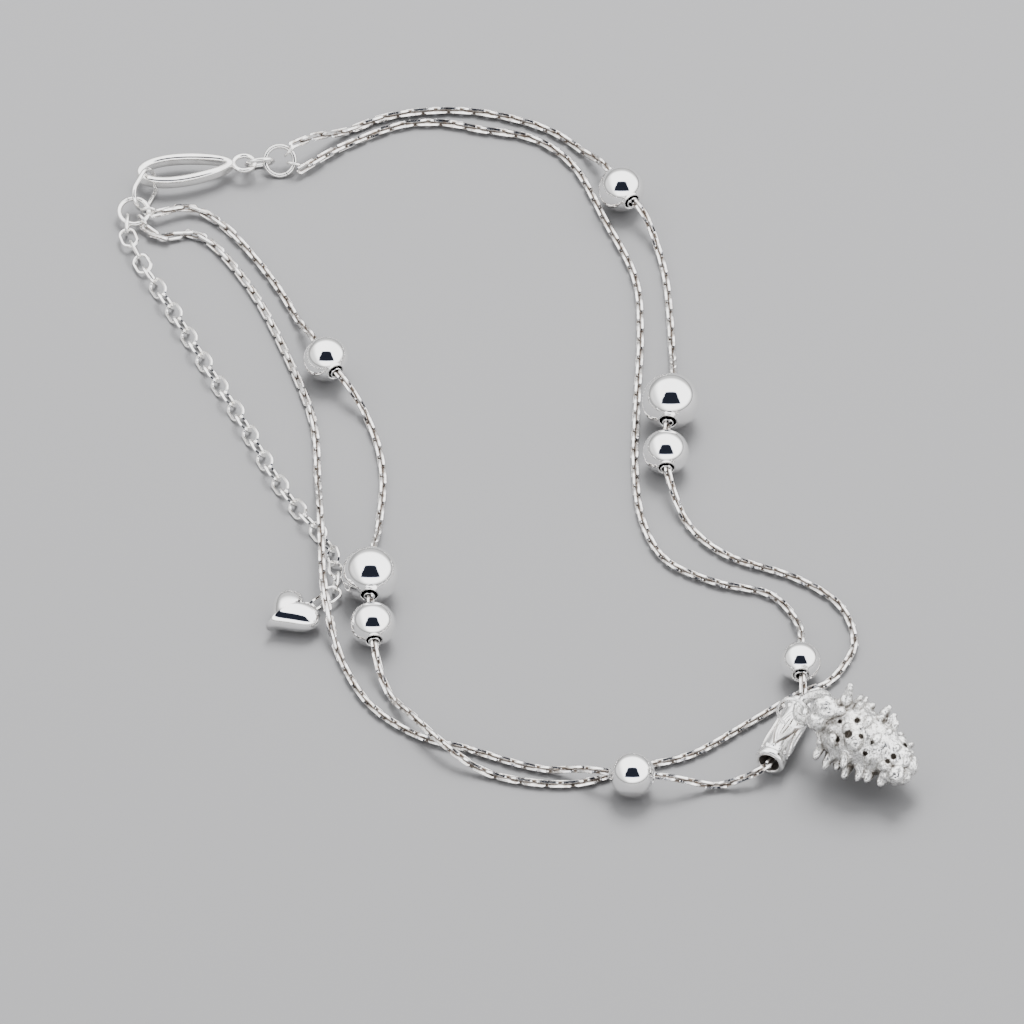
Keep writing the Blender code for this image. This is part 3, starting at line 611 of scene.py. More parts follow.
def threaded_place(way, at, reach):
    """The place of a piece that is threaded on a chain, its Z along the chain."""
    z = (way.point(at + reach) - way.point(at - reach)).normalized()
    x = UP.cross(z).normalized()
    place = Matrix((x, z.cross(x), z)).transposed().to_4x4()
    place.translation = way.point(at)
    return place


bead_silver = silver_finish("Polished silver", (0.96, 0.955, 0.95), (0.72, 0.68, 0.64), 0.2, 500,
                            (0.025, 0.07), 7000, 0.0006)
for name, (strand, spot, size) in BEADS.items():
    bead = drilled_bead("fine_" + name, size)
    way = ways[strand]
    bead.data.transform(threaded_place(way, way.nearest(spot), size / 2))
    put_on(bead, name, bead_silver)

# The carved tube
# A tube of cast silver on the charm's chain: a thick lip at each end, a row of dots behind it and
# four leaves round the middle, all raised. The ring that carries the charm is soldered to it.
TUBE_D = 2.4 * MM
TUBE_BORE_D = 1.8 * MM
FLANGE_LENGTH = 0.5 * MM
LEAF_LENGTH = 4.4 * MM
LEAF_WIRE = 0.3 * MM
DOT_D = 0.34 * MM
DOTS = 12
LEAVES = 4
CHARM_RING_D = 3.1 * MM
CHARM_RING_WIRE = 0.34 * MM
CHARM_RING_FROM_TOP = 3.5 * MM
CHARM_RING_ROLL = math.radians(14)
CHARM_RING_TIP = math.radians(10)
SOLDER_SINK = 0.22 * MM
FLANGE_ROUNDING = 0.07 * MM
GROOVE_DEPTH = 0.09 * MM

# The lip's rings from outside to inside, as radius and how far below the tube's end, in millimetres
LIP_RINGS = [(1.23, -0.03), (1.14, -0.04), (1.03, -0.02), (0.94, 0.04), (0.9, 0.12), (0.88, 0.3)]

# The lines of a leaf, as how far each bows out, its width and how high it stands in millimetres
LEAF_LINES = [(-1, 1.0, 0.15), (1, 1.0, 0.15), (0, 0.6, 0.08), (-0.5, 0.5, 0.05), (0.5, 0.5, 0.05)]


def leaf_angle(leaf, share, bow):
    """The angle round the tube of a line of the leaf, at this share of its length."""
    swell = math.sin(math.pi * share) * math.pi / LEAVES * 0.62
    return 2 * math.pi * (leaf + 0.2 * share) / LEAVES + bow * swell


def tube_relief(angle, z):
    """How far the carving stands out from the tube at this angle and height."""
    body, half = TUBE_D / 2, TUBE_LENGTH / 2
    flange = smooth_step((abs(z) - half + 1.3 * FLANGE_LENGTH) / (0.3 * FLANGE_LENGTH))
    end = smooth_step((abs(z) - half + 0.16 * MM) / (0.16 * MM))
    rise = flange * (TUBE_FLANGE_D - TUBE_D) / 2 - end * end * FLANGE_ROUNDING
    band = (LEAF_LENGTH / 2 + half - 1.4 * FLANGE_LENGTH) / 2
    turn = (angle * DOTS / (2 * math.pi) + 0.5) % 1 - 0.5
    away = math.hypot(turn * 2 * math.pi * body / DOTS, abs(z) - band)
    if away < DOT_D / 2:
        rise = max(rise, math.sqrt((DOT_D / 2) ** 2 - away**2) * 0.9)
    share = z / LEAF_LENGTH + 0.5
    if -0.04 < share < 1.04:
        share_in = min(max(share, 0), 1)
        for leaf in range(-1, LEAVES + 1):
            for bow, width, depth in LEAF_LINES:
                line = leaf_angle(leaf, share_in, bow)
                away = abs(angle - line) * body
                away = math.hypot(away, (share - share_in) * LEAF_LENGTH)
                size = LEAF_WIRE / 2 * width * (0.75 + 0.5 * math.sin(math.pi * share_in))
                if away < size:
                    rise = max(rise, depth * MM * math.sqrt(1 - (away / size) ** 2))
                elif away < size * 1.8 and rise <= 0:
                    rise = -GROOVE_DEPTH
    return rise


start_alone()
bpy.ops.mesh.primitive_cylinder_add(vertices=168, radius=TUBE_D / 2, depth=TUBE_LENGTH,
                                    end_fill_type="NOTHING", location=(0, 0, 0))
tube = bpy.context.object
tube.name = tube.data.name = "fine_tube_bead"
bpy.ops.object.mode_set(mode="EDIT")
select_where(tube, "EDGE", lambda edge: abs(edge.verts[0].co.z - edge.verts[1].co.z) > 1 * MM)
bpy.ops.mesh.subdivide(number_cuts=147)
shape = bmesh.from_edit_mesh(tube.data)
for vert in shape.verts:
    flat = vert.co.xy.normalized()
    turn = math.atan2(flat.y, flat.x) % (2 * math.pi)
    flat *= TUBE_D / 2 + tube_relief(turn, vert.co.z)
    vert.co.xy = flat
bmesh.update_edit_mesh(tube.data)
select_where(tube, "EDGE", lambda edge: edge.is_boundary)
radius = TUBE_FLANGE_D / 2 - FLANGE_ROUNDING
for new_radius, lower in LIP_RINGS:
    ratio = new_radius * MM / radius
    radius = new_radius * MM
    bpy.ops.mesh.extrude_region_move(TRANSFORM_OT_translate={"value": (0, 0, 0)})
    bpy.ops.transform.resize(value=(ratio, ratio, 1 - lower * MM * 2 / TUBE_LENGTH))
bpy.ops.mesh.bridge_edge_loops()
bpy.ops.mesh.select_all(action="SELECT")
bpy.ops.mesh.normals_make_consistent(inside=False)
bpy.ops.object.mode_set(mode="OBJECT")
bpy.ops.object.shade_smooth_by_angle(angle=math.radians(60))

# The charm's ring is wound twice from thin wire
double_wire = CHARM_RING_WIRE * 0.56
wind = bent_wire("charm_ring", CHARM_RING_D, CHARM_RING_D, double_wire, 72, 10)
shift = (CHARM_RING_WIRE - double_wire) / 2
ring = join_copies(wind, [Matrix.Translation((0, 0, k * shift)) for k in (-1, 1)], "charm_ring")
ring_foot = Vector((0, TUBE_D / 2 - SOLDER_SINK, TUBE_LENGTH / 2 - CHARM_RING_FROM_TOP))
ring_at = (Matrix.Rotation(CHARM_RING_ROLL, 4, "Z")
           @ Matrix.Translation(ring_foot)
           @ Matrix.Rotation(CHARM_RING_TIP, 4, "X")
           @ Matrix.Translation((0, CHARM_RING_D / 2, 0)))
ring.data.transform(ring_at)
tube_place = threaded_place(charm_way, tube_at, TUBE_LENGTH / 2)
charm_ring_middle = (tube_place @ ring_at).translation
join_pieces((tube, ring))
tube.data.transform(tube_place)
into_tube = tube_place.inverted()


def tube_depth(spot):
    """How deep a point of the tube lies below the tops of its carving, as the mask for painted
    shade; inside the bore it is a fixed 0.65.
    """
    spot = into_tube @ spot
    away = spot.xy.length
    if away > TUBE_FLANGE_D / 2 + 0.02 * MM:
        return 0.0
    if away < TUBE_BORE_D / 2 + 0.03 * MM:
        return 0.65
    if abs(spot.z) > TUBE_LENGTH / 2 - FLANGE_LENGTH:
        return 0.0
    return 1 - smooth_step((away - TUBE_D / 2 + GROOVE_DEPTH) / (0.08 * MM))


# Painted shade: the colour darkens in the grooves beside the carving and, less, inside the bore.
add_recess_shade_mask(tube, [tube_depth(vert.co) for vert in tube.data.vertices])
tube_silver = silver_finish("Carved silver", (0.96, 0.955, 0.945), (0.6, 0.57, 0.53), 0.3, 1200,
                            (0.1, 0.22), 5000, 0.006)
paint_shade_in_recesses(tube_silver, (0.16, 0.11, 0.07), 0.9)
put_on(tube, "tube_bead", tube_silver)

# The pine cone charm
# One piece of cast silver: scales in a spiral round a core, the topmost ones upright round a
# rough knob, a spur at its foot and a thick oval loop. The skin is grainy from the mould; its
# colour is bright on the scales, with painted dark reflection in speckles and painted shade between
# them.
CONE_LENGTH = 8.6 * MM
CONE_REACH = 3.9 * MM
CONE_CORE = 2.7 * MM
CONE_SCALES = 52
CONE_LOOP_LENGTH = 4.0 * MM
CONE_LOOP_WIDTH = 3.5 * MM
CONE_LOOP_WIRE = 0.95 * MM
CONE_LOOP_SHIFT = 0.45 * MM
CONE_LOOP_LEAN = math.radians(5)
CONE_STEM = Vector((1.1, -1.2, -0.12)) * MM
CONE_SPUR = 3.1 * MM
CONE_HEADING = math.radians(-30)
CONE_PITCH = math.radians(-12)
heading = Vector((math.cos(CONE_HEADING), math.sin(CONE_HEADING), math.tan(CONE_PITCH)))
heading.normalize()
along_loop = Vector((0.93, -0.15, 0.55)).normalized()
loop_middle = charm_ring_middle + along_loop * ((CONE_LOOP_LENGTH - CONE_LOOP_WIRE) / 2
                                                + CONE_LOOP_SHIFT)
side_way = UP.cross(heading).normalized()
cone_place = Matrix((side_way, heading.cross(side_way), heading)).transposed().to_4x4()
cone_place.translation = loop_middle + CONE_STEM

# Shares of the cone's length, with the core's and the scales' reach and the scales' lean
CORE_SHAPE = [(0.0, 0.6), (0.12, 0.9), (0.35, 1.0), (0.65, 0.85), (0.9, 0.55), (1.0, 0.2)]
SCALE_SHAPE = [(0.0, 0.72), (0.2, 1.0), (0.45, 1.0), (0.65, 0.8), (0.88, 0.54), (1.0, 0.3)]
LEAN_SHAPE = [(0.0, -8.0), (0.3, 4.0), (0.7, 24.0), (0.9, 45.0), (1.0, 70.0)]


def share_between(rows, share):
    """A value read straight between rows of (share of the length, value)."""
    for (a, low), (b, high) in zip(rows, rows[1:]):
        if share <= b:
            return low + (high - low) * (share - a) / (b - a)
    return rows[-1][1]


# The core: a cylinder cut into bands, each drawn in to its radius
start_alone()
bpy.ops.mesh.primitive_cylinder_add(vertices=32, radius=CONE_CORE, depth=CONE_LENGTH,
                                    location=(0, 0, CONE_LENGTH / 2))
core = bpy.context.object
core.name = core.data.name = "fine_pine_cone"
bpy.ops.object.transform_apply(location=True, rotation=True, scale=True)
bpy.ops.object.mode_set(mode="EDIT")
select_where(core, "EDGE", lambda edge: abs(edge.verts[0].co.z - edge.verts[1].co.z) > 1 * MM)
bpy.ops.mesh.subdivide(number_cuts=19)
shape = bmesh.from_edit_mesh(core.data)
for vert in shape.verts:
    vert.co.xy *= share_between(CORE_SHAPE, vert.co.z / CONE_LENGTH)
bmesh.update_edit_mesh(core.data)
bpy.ops.object.mode_set(mode="OBJECT")

# One scale: a ball drawn out along X, its outer end broad, blunt and turned up
start_alone()
bpy.ops.mesh.primitive_uv_sphere_add(segments=14, ring_count=12, radius=0.5, location=(0.5, 0, 0),
                                     rotation=(0, math.pi / 2, 0))
scale = bpy.context.object
scale.name = scale.data.name = "cone_scale"
bpy.ops.object.transform_apply(location=True, rotation=True, scale=True)
bpy.ops.object.mode_set(mode="EDIT")
shape = bmesh.from_edit_mesh(scale.data)
for vert in shape.verts:
    x = vert.co.x
    blunt = math.sqrt(1 + max(2 * x - 1, 0) ** 2 * 1.1)
    vert.co.y *= blunt * (0.9 + 0.15 * x * x)
    vert.co.z = vert.co.z * blunt * (0.85 + 0.1 * x) + 0.14 * smooth_step((x - 0.6) / 0.4)
bmesh.update_edit_mesh(scale.data)
bpy.ops.object.mode_set(mode="OBJECT")


def scale_place(root, way, length, wide, thick, roll):
    """The place of a scale that grows from its root this way, rolled round itself."""
    way = way.normalized()
    side_of = UP.cross(way).normalized()
    turned = Matrix((way, side_of, way.cross(side_of))).transposed().to_4x4()
    turned = turned @ Matrix.Rotation(roll, 4, "X")
    turned.translation = root
    return turned @ Matrix.Diagonal((length, wide, thick, 1))


# The way towards the front and the way to the lower side, square to the cone's length
toward = cone_place.to_3x3().inverted() @ Vector((0, -1, 1)).normalized()
toward = Vector((toward.x, toward.y, 0)).normalized()
aside = UP.cross(toward)
if (cone_place.to_3x3() @ aside).z > 0:
    aside = -aside
places = []
for k in range(CONE_SCALES):
    share = 0.05 + 0.93 * k / (CONE_SCALES - 1)
    turn = k * math.radians(137.5)
    lean = math.radians(share_between(LEAN_SHAPE, share) + 7 * math.sin(k * 3.1))
    out = Vector((math.cos(turn), math.sin(turn), 0))
    inner = CONE_CORE * share_between(CORE_SHAPE, share) * 0.35
    length = CONE_REACH * share_between(SCALE_SHAPE, share) * (1 + 0.06 * math.sin(k * 2.3)) - inner
    length *= 0.95 - 0.13 * smooth_step(out.dot(toward) * 2 + 1) - 0.13 * max(out.dot(aside), 0)
    wide = (1.35 + 0.3 * math.sin(k * 1.7)) * (1.08 - 0.3 * share)
    thick = (0.85 + 0.15 * math.sin(k * 4.3)) * (1.08 - 0.3 * share)
    places.append(scale_place(Vector((0, 0, CONE_LENGTH * share * 0.97)) + out * inner,
                              out * math.cos(lean) + UP * math.sin(lean), length,
                              wide * MM, thick * MM, 0.35 * math.sin(k * 5.1)))

# The scales that show at its edges, as rows of (share of the cone's length, how far the tip is to
# the side and how far towards the front, in millimetres, width)
SIDE_SCALES = [
    (0.12, 3.6, 0.9, 0.95), (0.24, 4.0, 0.5, 0.9), (0.34, 3.5, 0.2, 0.9), (0.43, 3.0, 2.2, 1.1),
    (0.47, 3.9, 0.7, 0.9), (0.6, 3.4, 1.1, 0.95), (0.69, 3.1, 1.0, 0.9), (0.83, 2.8, 1.1, 1.0),
    (0.5, -3.8, 0.2, 1.1), (0.6, -3.4, 0.8, 1.0), (0.66, -3.0, 1.1, 0.9), (0.27, -3.5, 0.9, 1.3),
]
for row, (share, side, front, wide) in enumerate(SIDE_SCALES):
    root = Vector((0, 0, CONE_LENGTH * share))
    tip = aside * side * MM + toward * front * MM
    roll = 0.4 * math.sin(row * 2.0)
    places.append(scale_place(root, tip, tip.length, wide * MM, 0.85 * MM, roll))
scales = join_copies(scale, places, "cone_scales")

# The smooth lump over the loop's foot and the knob, as rows of (share of the cone's length, how far
# to the side and how far towards the front, and radius, in millimetres)
knots = [(0, -0.7, 2.1, 1.25), (0, 0.5, 2.0, 1.0), (0.42, 0.4, 2.3, 0.95)]
knots += [(0.8 + 0.05 * (k % 5), 1.0 + 0.7 * math.sin(k * 2.4), 0.9 + 0.7 * math.cos(k * 2.4),
           0.62 + 0.1 * math.sin(k * 3.3)) for k in range(14)]
knots += [(0.99, 0, 0, 0.8)]
lumps = []
for share, side, front, size in knots:
    spot = Vector((0, 0, CONE_LENGTH * share)) + (aside * side + toward * front) * MM
    lumps.append((cone_place @ spot, size * MM))

# The spur's two leaves, as rows of (share of its length, radius in millimetres)
SPUR_SHAPE = [(0.0, 0.5), (0.25, 0.58), (0.45, 0.62), (0.55, 0.5), (0.68, 0.3), (0.77, 0.38),
              (0.87, 0.36), (0.96, 0.25)]
foot = cone_place @ Vector((0, CONE_CORE * 0.5, CONE_LENGTH * 0.16))
rise = Vector((0.24, 0.35, 0.93)).normalized() * CONE_SPUR
for share, size in SPUR_SHAPE:
    lumps.append((foot + rise * share, size * MM))
start_alone()
bpy.ops.mesh.primitive_ico_sphere_add(subdivisions=3, radius=1, location=(0, 0, 0))
lump = bpy.context.object
places = [Matrix.Translation(spot) @ Matrix.Scale(size, 4) for spot, size in lumps]
lumps = join_copies(lump, places, "cone_lumps")
across = Vector((0, math.cos(CONE_LOOP_LEAN), math.sin(CONE_LOOP_LEAN)))
loop = bent_wire("cone_loop", CONE_LOOP_LENGTH, CONE_LOOP_WIDTH, CONE_LOOP_WIRE, 54, 16)
loop.data.transform(ring_place(loop_middle, along_loop, across))
core.data.transform(cone_place)
scales.data.transform(cone_place)
cone = join_pieces((core, scales, lumps))
melt = cone.modifiers.new("Cast as one", "REMESH")
melt.mode = "VOXEL"
melt.voxel_size = 0.1 * MM
bpy.ops.object.modifier_apply(modifier=melt.name)

# The mould's lumps and grain are pushed along the surface's own normals, and the pits away from the
# front. They are given as rows of (pixel across, pixel down, radius in millimetres)
PITS = [
    (855, 719, 0.3), (859, 735, 0.3), (835, 738, 0.27), (846, 733, 0.42), (863, 752, 0.25),
    (891, 755, 0.3), (885, 760, 0.26), (903, 744, 0.28), (838, 720, 0.2), (870, 741, 0.22),
]
PIXELS = 11.5
PICTURE_MIDDLE = 512
AIM = Vector((0, -6.7, 0)) * MM
surface = BVHTree.FromObject(cone, bpy.context.evaluated_depsgraph_get())
pits = []
for across_at, down_at, size in PITS:
    spot = AIM + Vector((across_at - PICTURE_MIDDLE, 0, 0)) / PIXELS * MM
    spot += Vector((0, 1, 1)).normalized() * (PICTURE_MIDDLE - down_at) / PIXELS * MM
    hit = surface.ray_cast(spot - VIEW * 0.2, VIEW)[0]
    if hit:
        pits.append((hit, size * MM))


def pit_depth(spot):
    """How deep a point lies in the nearest pit, from 0 at its rim to 1."""
    return max((1 - (spot - middle).length / size for middle, size in pits), default=0)


normals = [vert.normal.copy() for vert in cone.data.vertices]
for vert, normal in zip(cone.data.vertices, normals):
    spot = vert.co / MM
    lumpy = noise.noise(spot * 1.1) * 0.12 + noise.noise(spot * 2.3 + UP * 7) * 0.06
    fine = noise.noise(spot * 5.0 + UP * 3) * 0.03 + noise.noise(spot * 9.0) * 0.025
    pit = pit_depth(vert.co)
    vert.co += normal * (lumpy + fine + 0.06 * smooth_step(1 + pit / 0.6) * (pit < 0)) * MM
    if pit > 0:
        vert.co += VIEW * smooth_step(pit * 1.6) * 0.4 * MM
join_pieces((cone, loop))
bpy.ops.object.shade_smooth_by_angle(angle=math.radians(70))
cone.name = cone.data.name = "fine_pine_cone"


# Painted shade: points between the scales and in the pits are darkened
add_recess_shade_mask(cone, [max(smooth_step((hidden - 0.1) / 0.5), smooth_step(pit_depth(vert.co) * 2.5))
                       for vert, hidden in zip(cone.data.vertices, hidden_shares(cone, 1.6 * MM))])
# Painted reflection: the cast silver's tarnish is dense, fine and nearly black, standing in for dark
# surroundings seen in the grainy metal.
cone_silver = silver_finish("Cast silver", (0.97, 0.965, 0.95), (0.17, 0.16, 0.14), 0.8, 5600,
                            (0.2, 0.36), 5200, 0.06)
paint_shade_in_recesses(cone_silver, (0.1, 0.08, 0.06), 0.92)
put_on(cone, "pine_cone", cone_silver)

# The extender chain
# Oval links of round wire, wider than the fine chains' links. It hangs from the left ring and
# lies flat, with its links leaning to each side in turn.
OVAL_LENGTH = 2.2 * MM
OVAL_WIRE = 0.3 * MM
OVAL_LEAN = 45
OVAL_TURN_LINKS = 5
EXTENDER_HANG = math.radians(-112)
HEART_WIDTH = 5.0 * MM
HEART_LENGTH = 4.7 * MM
HEART_THICKNESS = 2.5 * MM
HEART_HEADING = math.radians(37)
HEART_CENTRE = Vector((-19.4, -20.6)) * MM
HEART_RING_D = 1.5 * MM
HEART_RING_WIRE = 0.3 * MM


def heart_outline(angle):
    """The heart's edge, as shares of half its width and length, with its point at -Y."""
    x = math.sin(angle) ** 3
    y = (13 * math.cos(angle) - 5 * math.cos(2 * angle) - 2 * math.cos(3 * angle)
         - math.cos(4 * angle)) / 14.5 + 0.15
    return Vector((x, y))


def linked_distance(size_a, wire_a, size_b, wire_b):
    """How far apart the middles of two linked rings are when they are drawn out."""
    return (size_a + size_b) / 2 - wire_a - wire_b - 0.3 * MM


heart_way = Vector((math.cos(HEART_HEADING), math.sin(HEART_HEADING), 0))
notch = heart_outline(0).y * HEART_LENGTH / 2
heart_ring_middle = (Vector((*HEART_CENTRE, OVAL_WIDTH / 2))
                     + heart_way * (notch + HEART_RING_D * 0.6))
start = heart_ring_middle + heart_way * linked_distance(HEART_RING_D, HEART_RING_WIRE,
                                                        OVAL_LENGTH, OVAL_WIRE)
out = left_ring.to_3x3() @ Vector((math.cos(EXTENDER_HANG), math.sin(EXTENDER_HANG), 0))
end = left_ring.translation + out * linked_distance(RING_D, RING_WIRE, OVAL_LENGTH, OVAL_WIRE)
end.z = max(end.z, OVAL_WIDTH / 2)
lying = ((OVAL_WIDTH - OVAL_WIRE) * math.sin(math.radians(OVAL_LEAN)) + OVAL_WIRE) / 2
way = ChainWay(start, ROUTES["extender_chain"], end, lying)
step = OVAL_LENGTH - 2 * OVAL_WIRE + 0.05 * MM
count = 2 * round((way.length / step - 1) / 2) + 2
places = []
for i in range(count):
    at = way.length * i / (count - 1)
    turn = OVAL_LEAN * (1 - min(min(i, count - 1 - i) / OVAL_TURN_LINKS, 1))
    angle = (OVAL_LEAN if i % 2 else -OVAL_LEAN) + (turn if i > count / 2 else -turn)
    point = way.point(at)
    rise = abs(math.sin(math.radians(angle)))
    point.z = max(point.z, (OVAL_WIDTH - OVAL_WIRE) / 2 * rise + OVAL_WIRE / 2)
    places.append(link_place(point, way.direction(at), angle))
link = bent_wire("oval_link", OVAL_LENGTH + 0.06 * MM, OVAL_WIDTH, OVAL_WIRE * 0.94, 26, 6)
extender = join_copies(link, places, "fine_extender_chain")
put_on(extender, "extender_chain", drawn_wire)

# The heart drop
# A puffed heart of polished silver, smooth all round, with a small ring soldered in its notch.
start_alone()
bpy.ops.mesh.primitive_uv_sphere_add(segments=80, ring_count=40, radius=1, location=(0, 0, 0))
heart = bpy.context.object
heart.name = heart.data.name = "fine_heart"
bpy.ops.object.mode_set(mode="EDIT")
shape = bmesh.from_edit_mesh(heart.data)
for vert in shape.verts:
    flat = vert.co.xy.length
    edge = heart_outline(math.atan2(vert.co.x, vert.co.y)) * flat**0.85
    vert.co = Vector((edge.x * HEART_WIDTH / 2, edge.y * HEART_LENGTH / 2,
                      vert.co.z * HEART_THICKNESS / 2))
bmesh.update_edit_mesh(heart.data)
weld(0.002 * MM)
turn = Matrix.Rotation(HEART_HEADING - math.pi / 2, 4, "Z")
heart.data.transform(Matrix.Translation((*HEART_CENTRE, HEART_THICKNESS / 2)) @ turn)
ring = bent_wire("heart_ring", HEART_RING_D, HEART_RING_D, HEART_RING_WIRE, 48, 12)
ring.data.transform(Matrix.Translation(heart_ring_middle))
join_pieces((heart, ring))
bpy.ops.object.shade_smooth_by_angle(angle=math.radians(60))
put_on(heart, "heart", bead_silver)

# The clasp and its two rings
# A plain flat lobster clasp, drop-shaped round its opening, with an eye at its tail. A jump ring
# holds the eye to the right ring, and an oval link joins its side bar to the left one.
CLASP_LENGTH = 8.6 * MM
CLASP_WIDTH = 4.2 * MM
CLASP_THICKNESS = 1.1 * MM
CLASP_BAR = 0.75 * MM
CLASP_EYE_D = 2.3 * MM
CLASP_EYE_WIRE = 0.45 * MM
CLASP_WAY = math.radians(189)
CLASP_RING_D = 2.76 * MM
CLASP_RING_WIRE = 0.38 * MM
CLASP_RING_LEAN = math.radians(-57)
CATCH_WIDTH = 2.9 * MM
CATCH_WIRE = 0.4 * MM
CATCH_LEAN = math.radians(65)
CATCH_ROOM = 0.3 * MM
CLASP_EDGE = 0.3 * MM
CLASP_CORNERS = 96
CLASP_HOOK = math.radians(34)


def leaning_height(width, wire, lean):
    """How high the middle of a leaning ring is when its lower side lies on the floor."""
    return (width - wire) / 2 * abs(math.sin(lean)) + wire / 2


def clasp_line(angle, inset):
    """A point of the clasp's rounded outline, this far inside it."""
    x, y = math.cos(angle), math.sin(angle)
    full = 0.82 + 0.18 * x
    return Vector((x * (CLASP_LENGTH / 2 - inset), y * (CLASP_WIDTH / 2 * full - inset), 0))


way = Vector((math.cos(CLASP_WAY), math.sin(CLASP_WAY), 0))
hinge = RIGHT_RING + way * linked_distance(RING_D, RING_WIRE, CLASP_RING_D, CLASP_RING_WIRE)
hinge.z = leaning_height(CLASP_RING_D, CLASP_RING_WIRE, CLASP_RING_LEAN)
ring = bent_wire("fine_clasp_ring", CLASP_RING_D, CLASP_RING_D, CLASP_RING_WIRE, 90, 12, 1.2)
ring.data.transform(leaning_place(hinge, CLASP_WAY + math.pi, CLASP_RING_LEAN))
put_on(ring, "clasp_ring", drawn_wire)
eye = hinge + way * linked_distance(CLASP_RING_D, CLASP_RING_WIRE, CLASP_EYE_D, CLASP_EYE_WIRE)
eye.z = leaning_height(CATCH_WIDTH, CATCH_WIRE, CATCH_LEAN)
eye_reach = (CLASP_EYE_D - CLASP_EYE_WIRE) / 2
clasp_place = ring_place(eye + way * (eye_reach + CLASP_LENGTH / 2), way, UP.cross(way))

start_alone()
outline = bpy.data.curves.new("clasp_outline", "CURVE")
outline.dimensions = "2D"
outline.fill_mode = "BOTH"
outline.bevel_depth = CLASP_EDGE
outline.bevel_resolution = 4
outline.offset = -CLASP_EDGE
outline.extrude = CLASP_THICKNESS / 2 - CLASP_EDGE
for inset in (0, CLASP_BAR):
    spline = outline.splines.new("POLY")
    spline.points.add(CLASP_CORNERS - 1)
    spline.use_cyclic_u = True
    for i, spot in enumerate(spline.points):
        spot.co = (*clasp_line(2 * math.pi * i / CLASP_CORNERS, inset), 1)
clasp = bpy.data.objects.new("fine_clasp", outline)
bpy.context.collection.objects.link(clasp)
clasp.select_set(True)
bpy.context.view_layer.objects.active = clasp
bpy.ops.object.convert(target="MESH")
clasp = bpy.context.object
bpy.ops.object.mode_set(mode="EDIT")
weld(0.001 * MM)
eye_ring = bent_wire("clasp_eye", CLASP_EYE_D, CLASP_EYE_D, CLASP_EYE_WIRE, 56, 14)
eye_ring.data.transform(Matrix.Translation((-CLASP_LENGTH / 2 - eye_reach, 0, 0)))
join_pieces((clasp, eye_ring))
clasp.data.transform(clasp_place)
bpy.ops.object.shade_smooth_by_angle(angle=math.radians(45))
put_on(clasp, "clasp", drawn_wire)

hook = clasp_place @ clasp_line(CLASP_HOOK, CLASP_BAR / 2)
span = (hook - LEFT_RING).xy
near = RING_D / 2 - RING_WIRE - CATCH_ROOM
far = span.length + CLASP_BAR / 2 + CATCH_ROOM
middle = LEFT_RING + Vector((*span.normalized(), 0)) * (near + far) / 2
middle.z = eye.z
catch = bent_wire("fine_catch_link", far - near + 2 * CATCH_WIRE, CATCH_WIDTH, CATCH_WIRE, 62, 12)
catch.data.transform(leaning_place(middle, math.atan2(span.y, span.x), CATCH_LEAN))
put_on(catch, "catch_link", drawn_wire)

# Floor, light and camera
# A plain pale floor under a white studio tent that is open where the camera looks in, and one
# large soft light from above. The camera looks down at 45 degrees through a long lens.
FLOOR_SIZE = 3
FLOOR_COLOUR = (0.13, 0.13, 0.133, 1)
FLOOR_ROUGHNESS = 0.55
TENT_STRENGTH = 3.4
LOWEST_STRENGTH = 0.45
OPENING_TINT = (0.55, 0.65, 1, 1)
LAMP_SIZE = 0.3
LAMP_WATTS = 12
LAMP_PLACE = Vector((0.05, 0.3, 0.5))
CAMERA_FAR = 4
LENS_LENGTH = 1616
start_alone()
bpy.ops.mesh.primitive_plane_add(size=FLOOR_SIZE, location=(0, 0, 0))
floor = bpy.context.object
floor.name = "floor"
pale = bpy.data.materials.new("Pale floor")
pale.use_nodes = True
shader = pale.node_tree.nodes["Principled BSDF"]
shader.inputs["Base Color"].default_value = FLOOR_COLOUR
shader.inputs["Roughness"].default_value = FLOOR_ROUGHNESS
floor.data.materials.append(pale)

world = bpy.context.scene.world or bpy.data.worlds.new("Studio")
bpy.context.scene.world = world
world.use_nodes = True
nodes, links = world.node_tree.nodes, world.node_tree.links
background = nodes["Background"]
place = nodes.new("ShaderNodeTexCoord")


def dot_with(direction):
    """How much the view runs this way."""
    node = nodes.new("ShaderNodeVectorMath")
    node.operation = "DOT_PRODUCT"
    node.inputs[1].default_value = direction
    links.new(place.outputs["Generated"], node.inputs[0])
    return node.outputs["Value"]


def reckon(operation, *values):
    """A number worked out from other numbers."""
    node = nodes.new("ShaderNodeMath")
    node.operation = operation
    for socket, value in zip(node.inputs, values):
        if isinstance(value, (int, float)):
            socket.default_value = value
        else:
            links.new(value, socket)
    return node.outputs["Value"]


def soft_edge(value, low, high):
    """0 below low, 1 above high."""
    node = nodes.new("ShaderNodeMapRange")
    node.interpolation_type = "SMOOTHSTEP"
    node.inputs["From Min"].default_value = low
    node.inputs["From Max"].default_value = high
    links.new(value, node.inputs["Value"])
    return node.outputs["Result"]


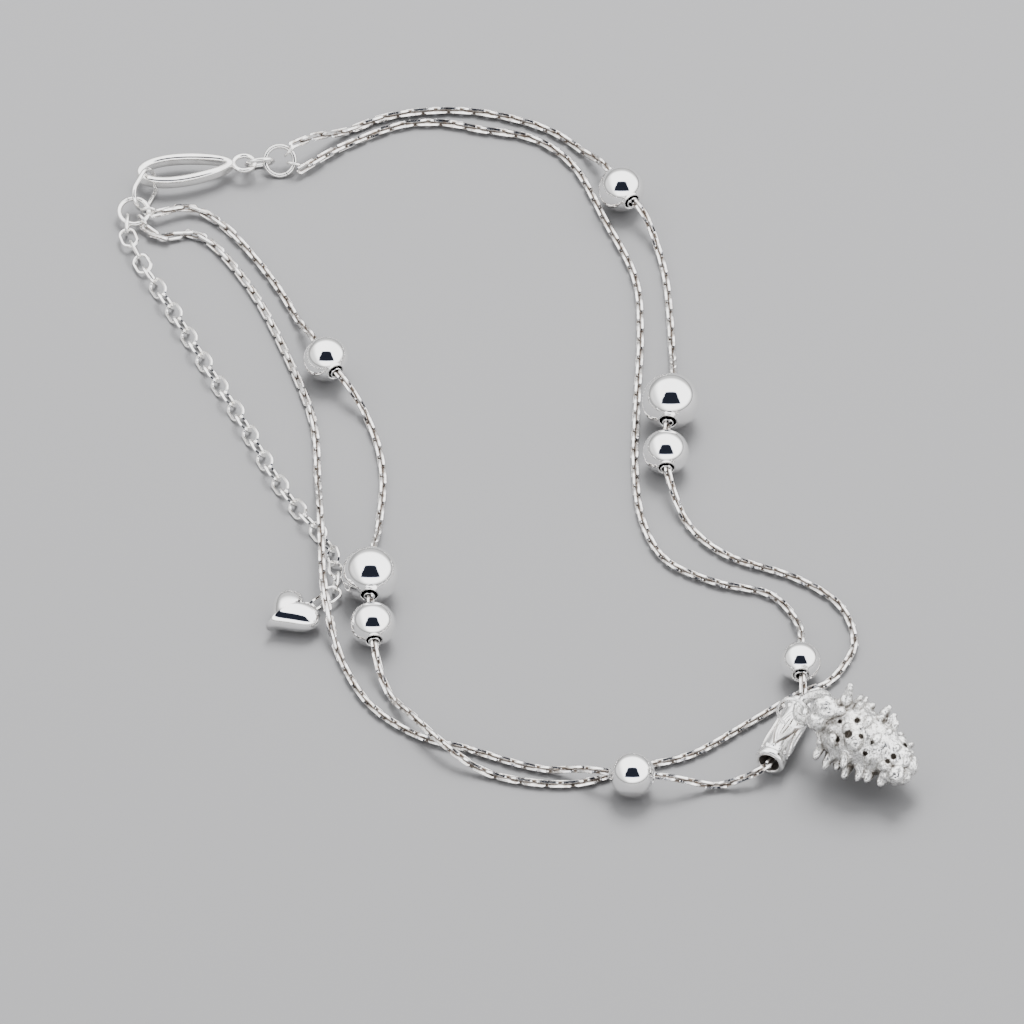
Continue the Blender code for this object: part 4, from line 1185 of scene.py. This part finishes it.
# The tent's opening is a ragged, slanting gap round the way that the camera looks in
sideways = dot_with((1, 0, 0))
upward = dot_with((0, math.sqrt(0.5), math.sqrt(0.5)))
facing = reckon("MAXIMUM", dot_with((0, -math.sqrt(0.5), math.sqrt(0.5))), 0.05)
across = reckon("ABSOLUTE", reckon("DIVIDE", sideways, facing))
rising = reckon("DIVIDE", upward, facing)
ragged = nodes.new("ShaderNodeTexNoise")
ragged.inputs["Scale"].default_value = 7
ragged.inputs["Detail"].default_value = 3
links.new(place.outputs["Generated"], ragged.inputs["Vector"])
slanted = reckon("ADD", across, reckon("MULTIPLY", rising, 0.36))
slanted = reckon("ADD", slanted, reckon("MULTIPLY", ragged.outputs["Fac"], 0.3))
opening = reckon("MULTIPLY", soft_edge(slanted, 0.92, 0.84),
                 reckon("MULTIPLY", soft_edge(rising, -0.24, -0.16), soft_edge(rising, 0.86, 0.74)))

# The tent is dimmer at the back and at the left
tent = soft_edge(dot_with((0, 0, 1)), 0.02, 0.25)
behind = soft_edge(dot_with((0, 1, -1.2)), 0.0, 0.5)
left = soft_edge(dot_with((-1, 0, -0.9)), 0.0, 0.6)
dim = reckon("MULTIPLY", reckon("SUBTRACT", 1, reckon("MULTIPLY", behind, 0.85)),
             reckon("SUBTRACT", 1, reckon("MULTIPLY", left, 0.7)))
bright = reckon("MULTIPLY", reckon("MULTIPLY", tent, dim), TENT_STRENGTH)
bright = reckon("ADD", bright, LOWEST_STRENGTH)
shade = reckon("MULTIPLY", bright, reckon("SUBTRACT", 1, reckon("MULTIPLY", opening, 0.99)))
links.new(shade, background.inputs["Strength"])
tint = nodes.new("ShaderNodeMix")
tint.data_type = "RGBA"
tint.inputs["A"].default_value = (1, 1, 1, 1)
tint.inputs["B"].default_value = OPENING_TINT
links.new(opening, tint.inputs["Factor"])
links.new(tint.outputs["Result"], background.inputs["Color"])

lamp_data = bpy.data.lights.new("Softbox", "AREA")
lamp_data.shape = "DISK"
lamp_data.size = LAMP_SIZE
lamp_data.energy = LAMP_WATTS
lamp = bpy.data.objects.new("Softbox", lamp_data)
bpy.context.scene.collection.objects.link(lamp)
lamp.location = LAMP_PLACE
lamp.rotation_euler = (-LAMP_PLACE).to_track_quat("-Z", "Y").to_euler()
lamp.visible_camera = False
lamp.visible_glossy = False

lens = bpy.data.cameras.new("Camera")
lens.lens = LENS_LENGTH
lens.sensor_width = 36
lens.clip_start = 0.1
lens.dof.use_dof = False
camera = bpy.data.objects.new("Camera", lens)
bpy.context.scene.collection.objects.link(camera)
camera.location = AIM - VIEW * CAMERA_FAR
camera.rotation_euler = VIEW.to_track_quat("-Z", "Y").to_euler()
bpy.context.scene.camera = camera
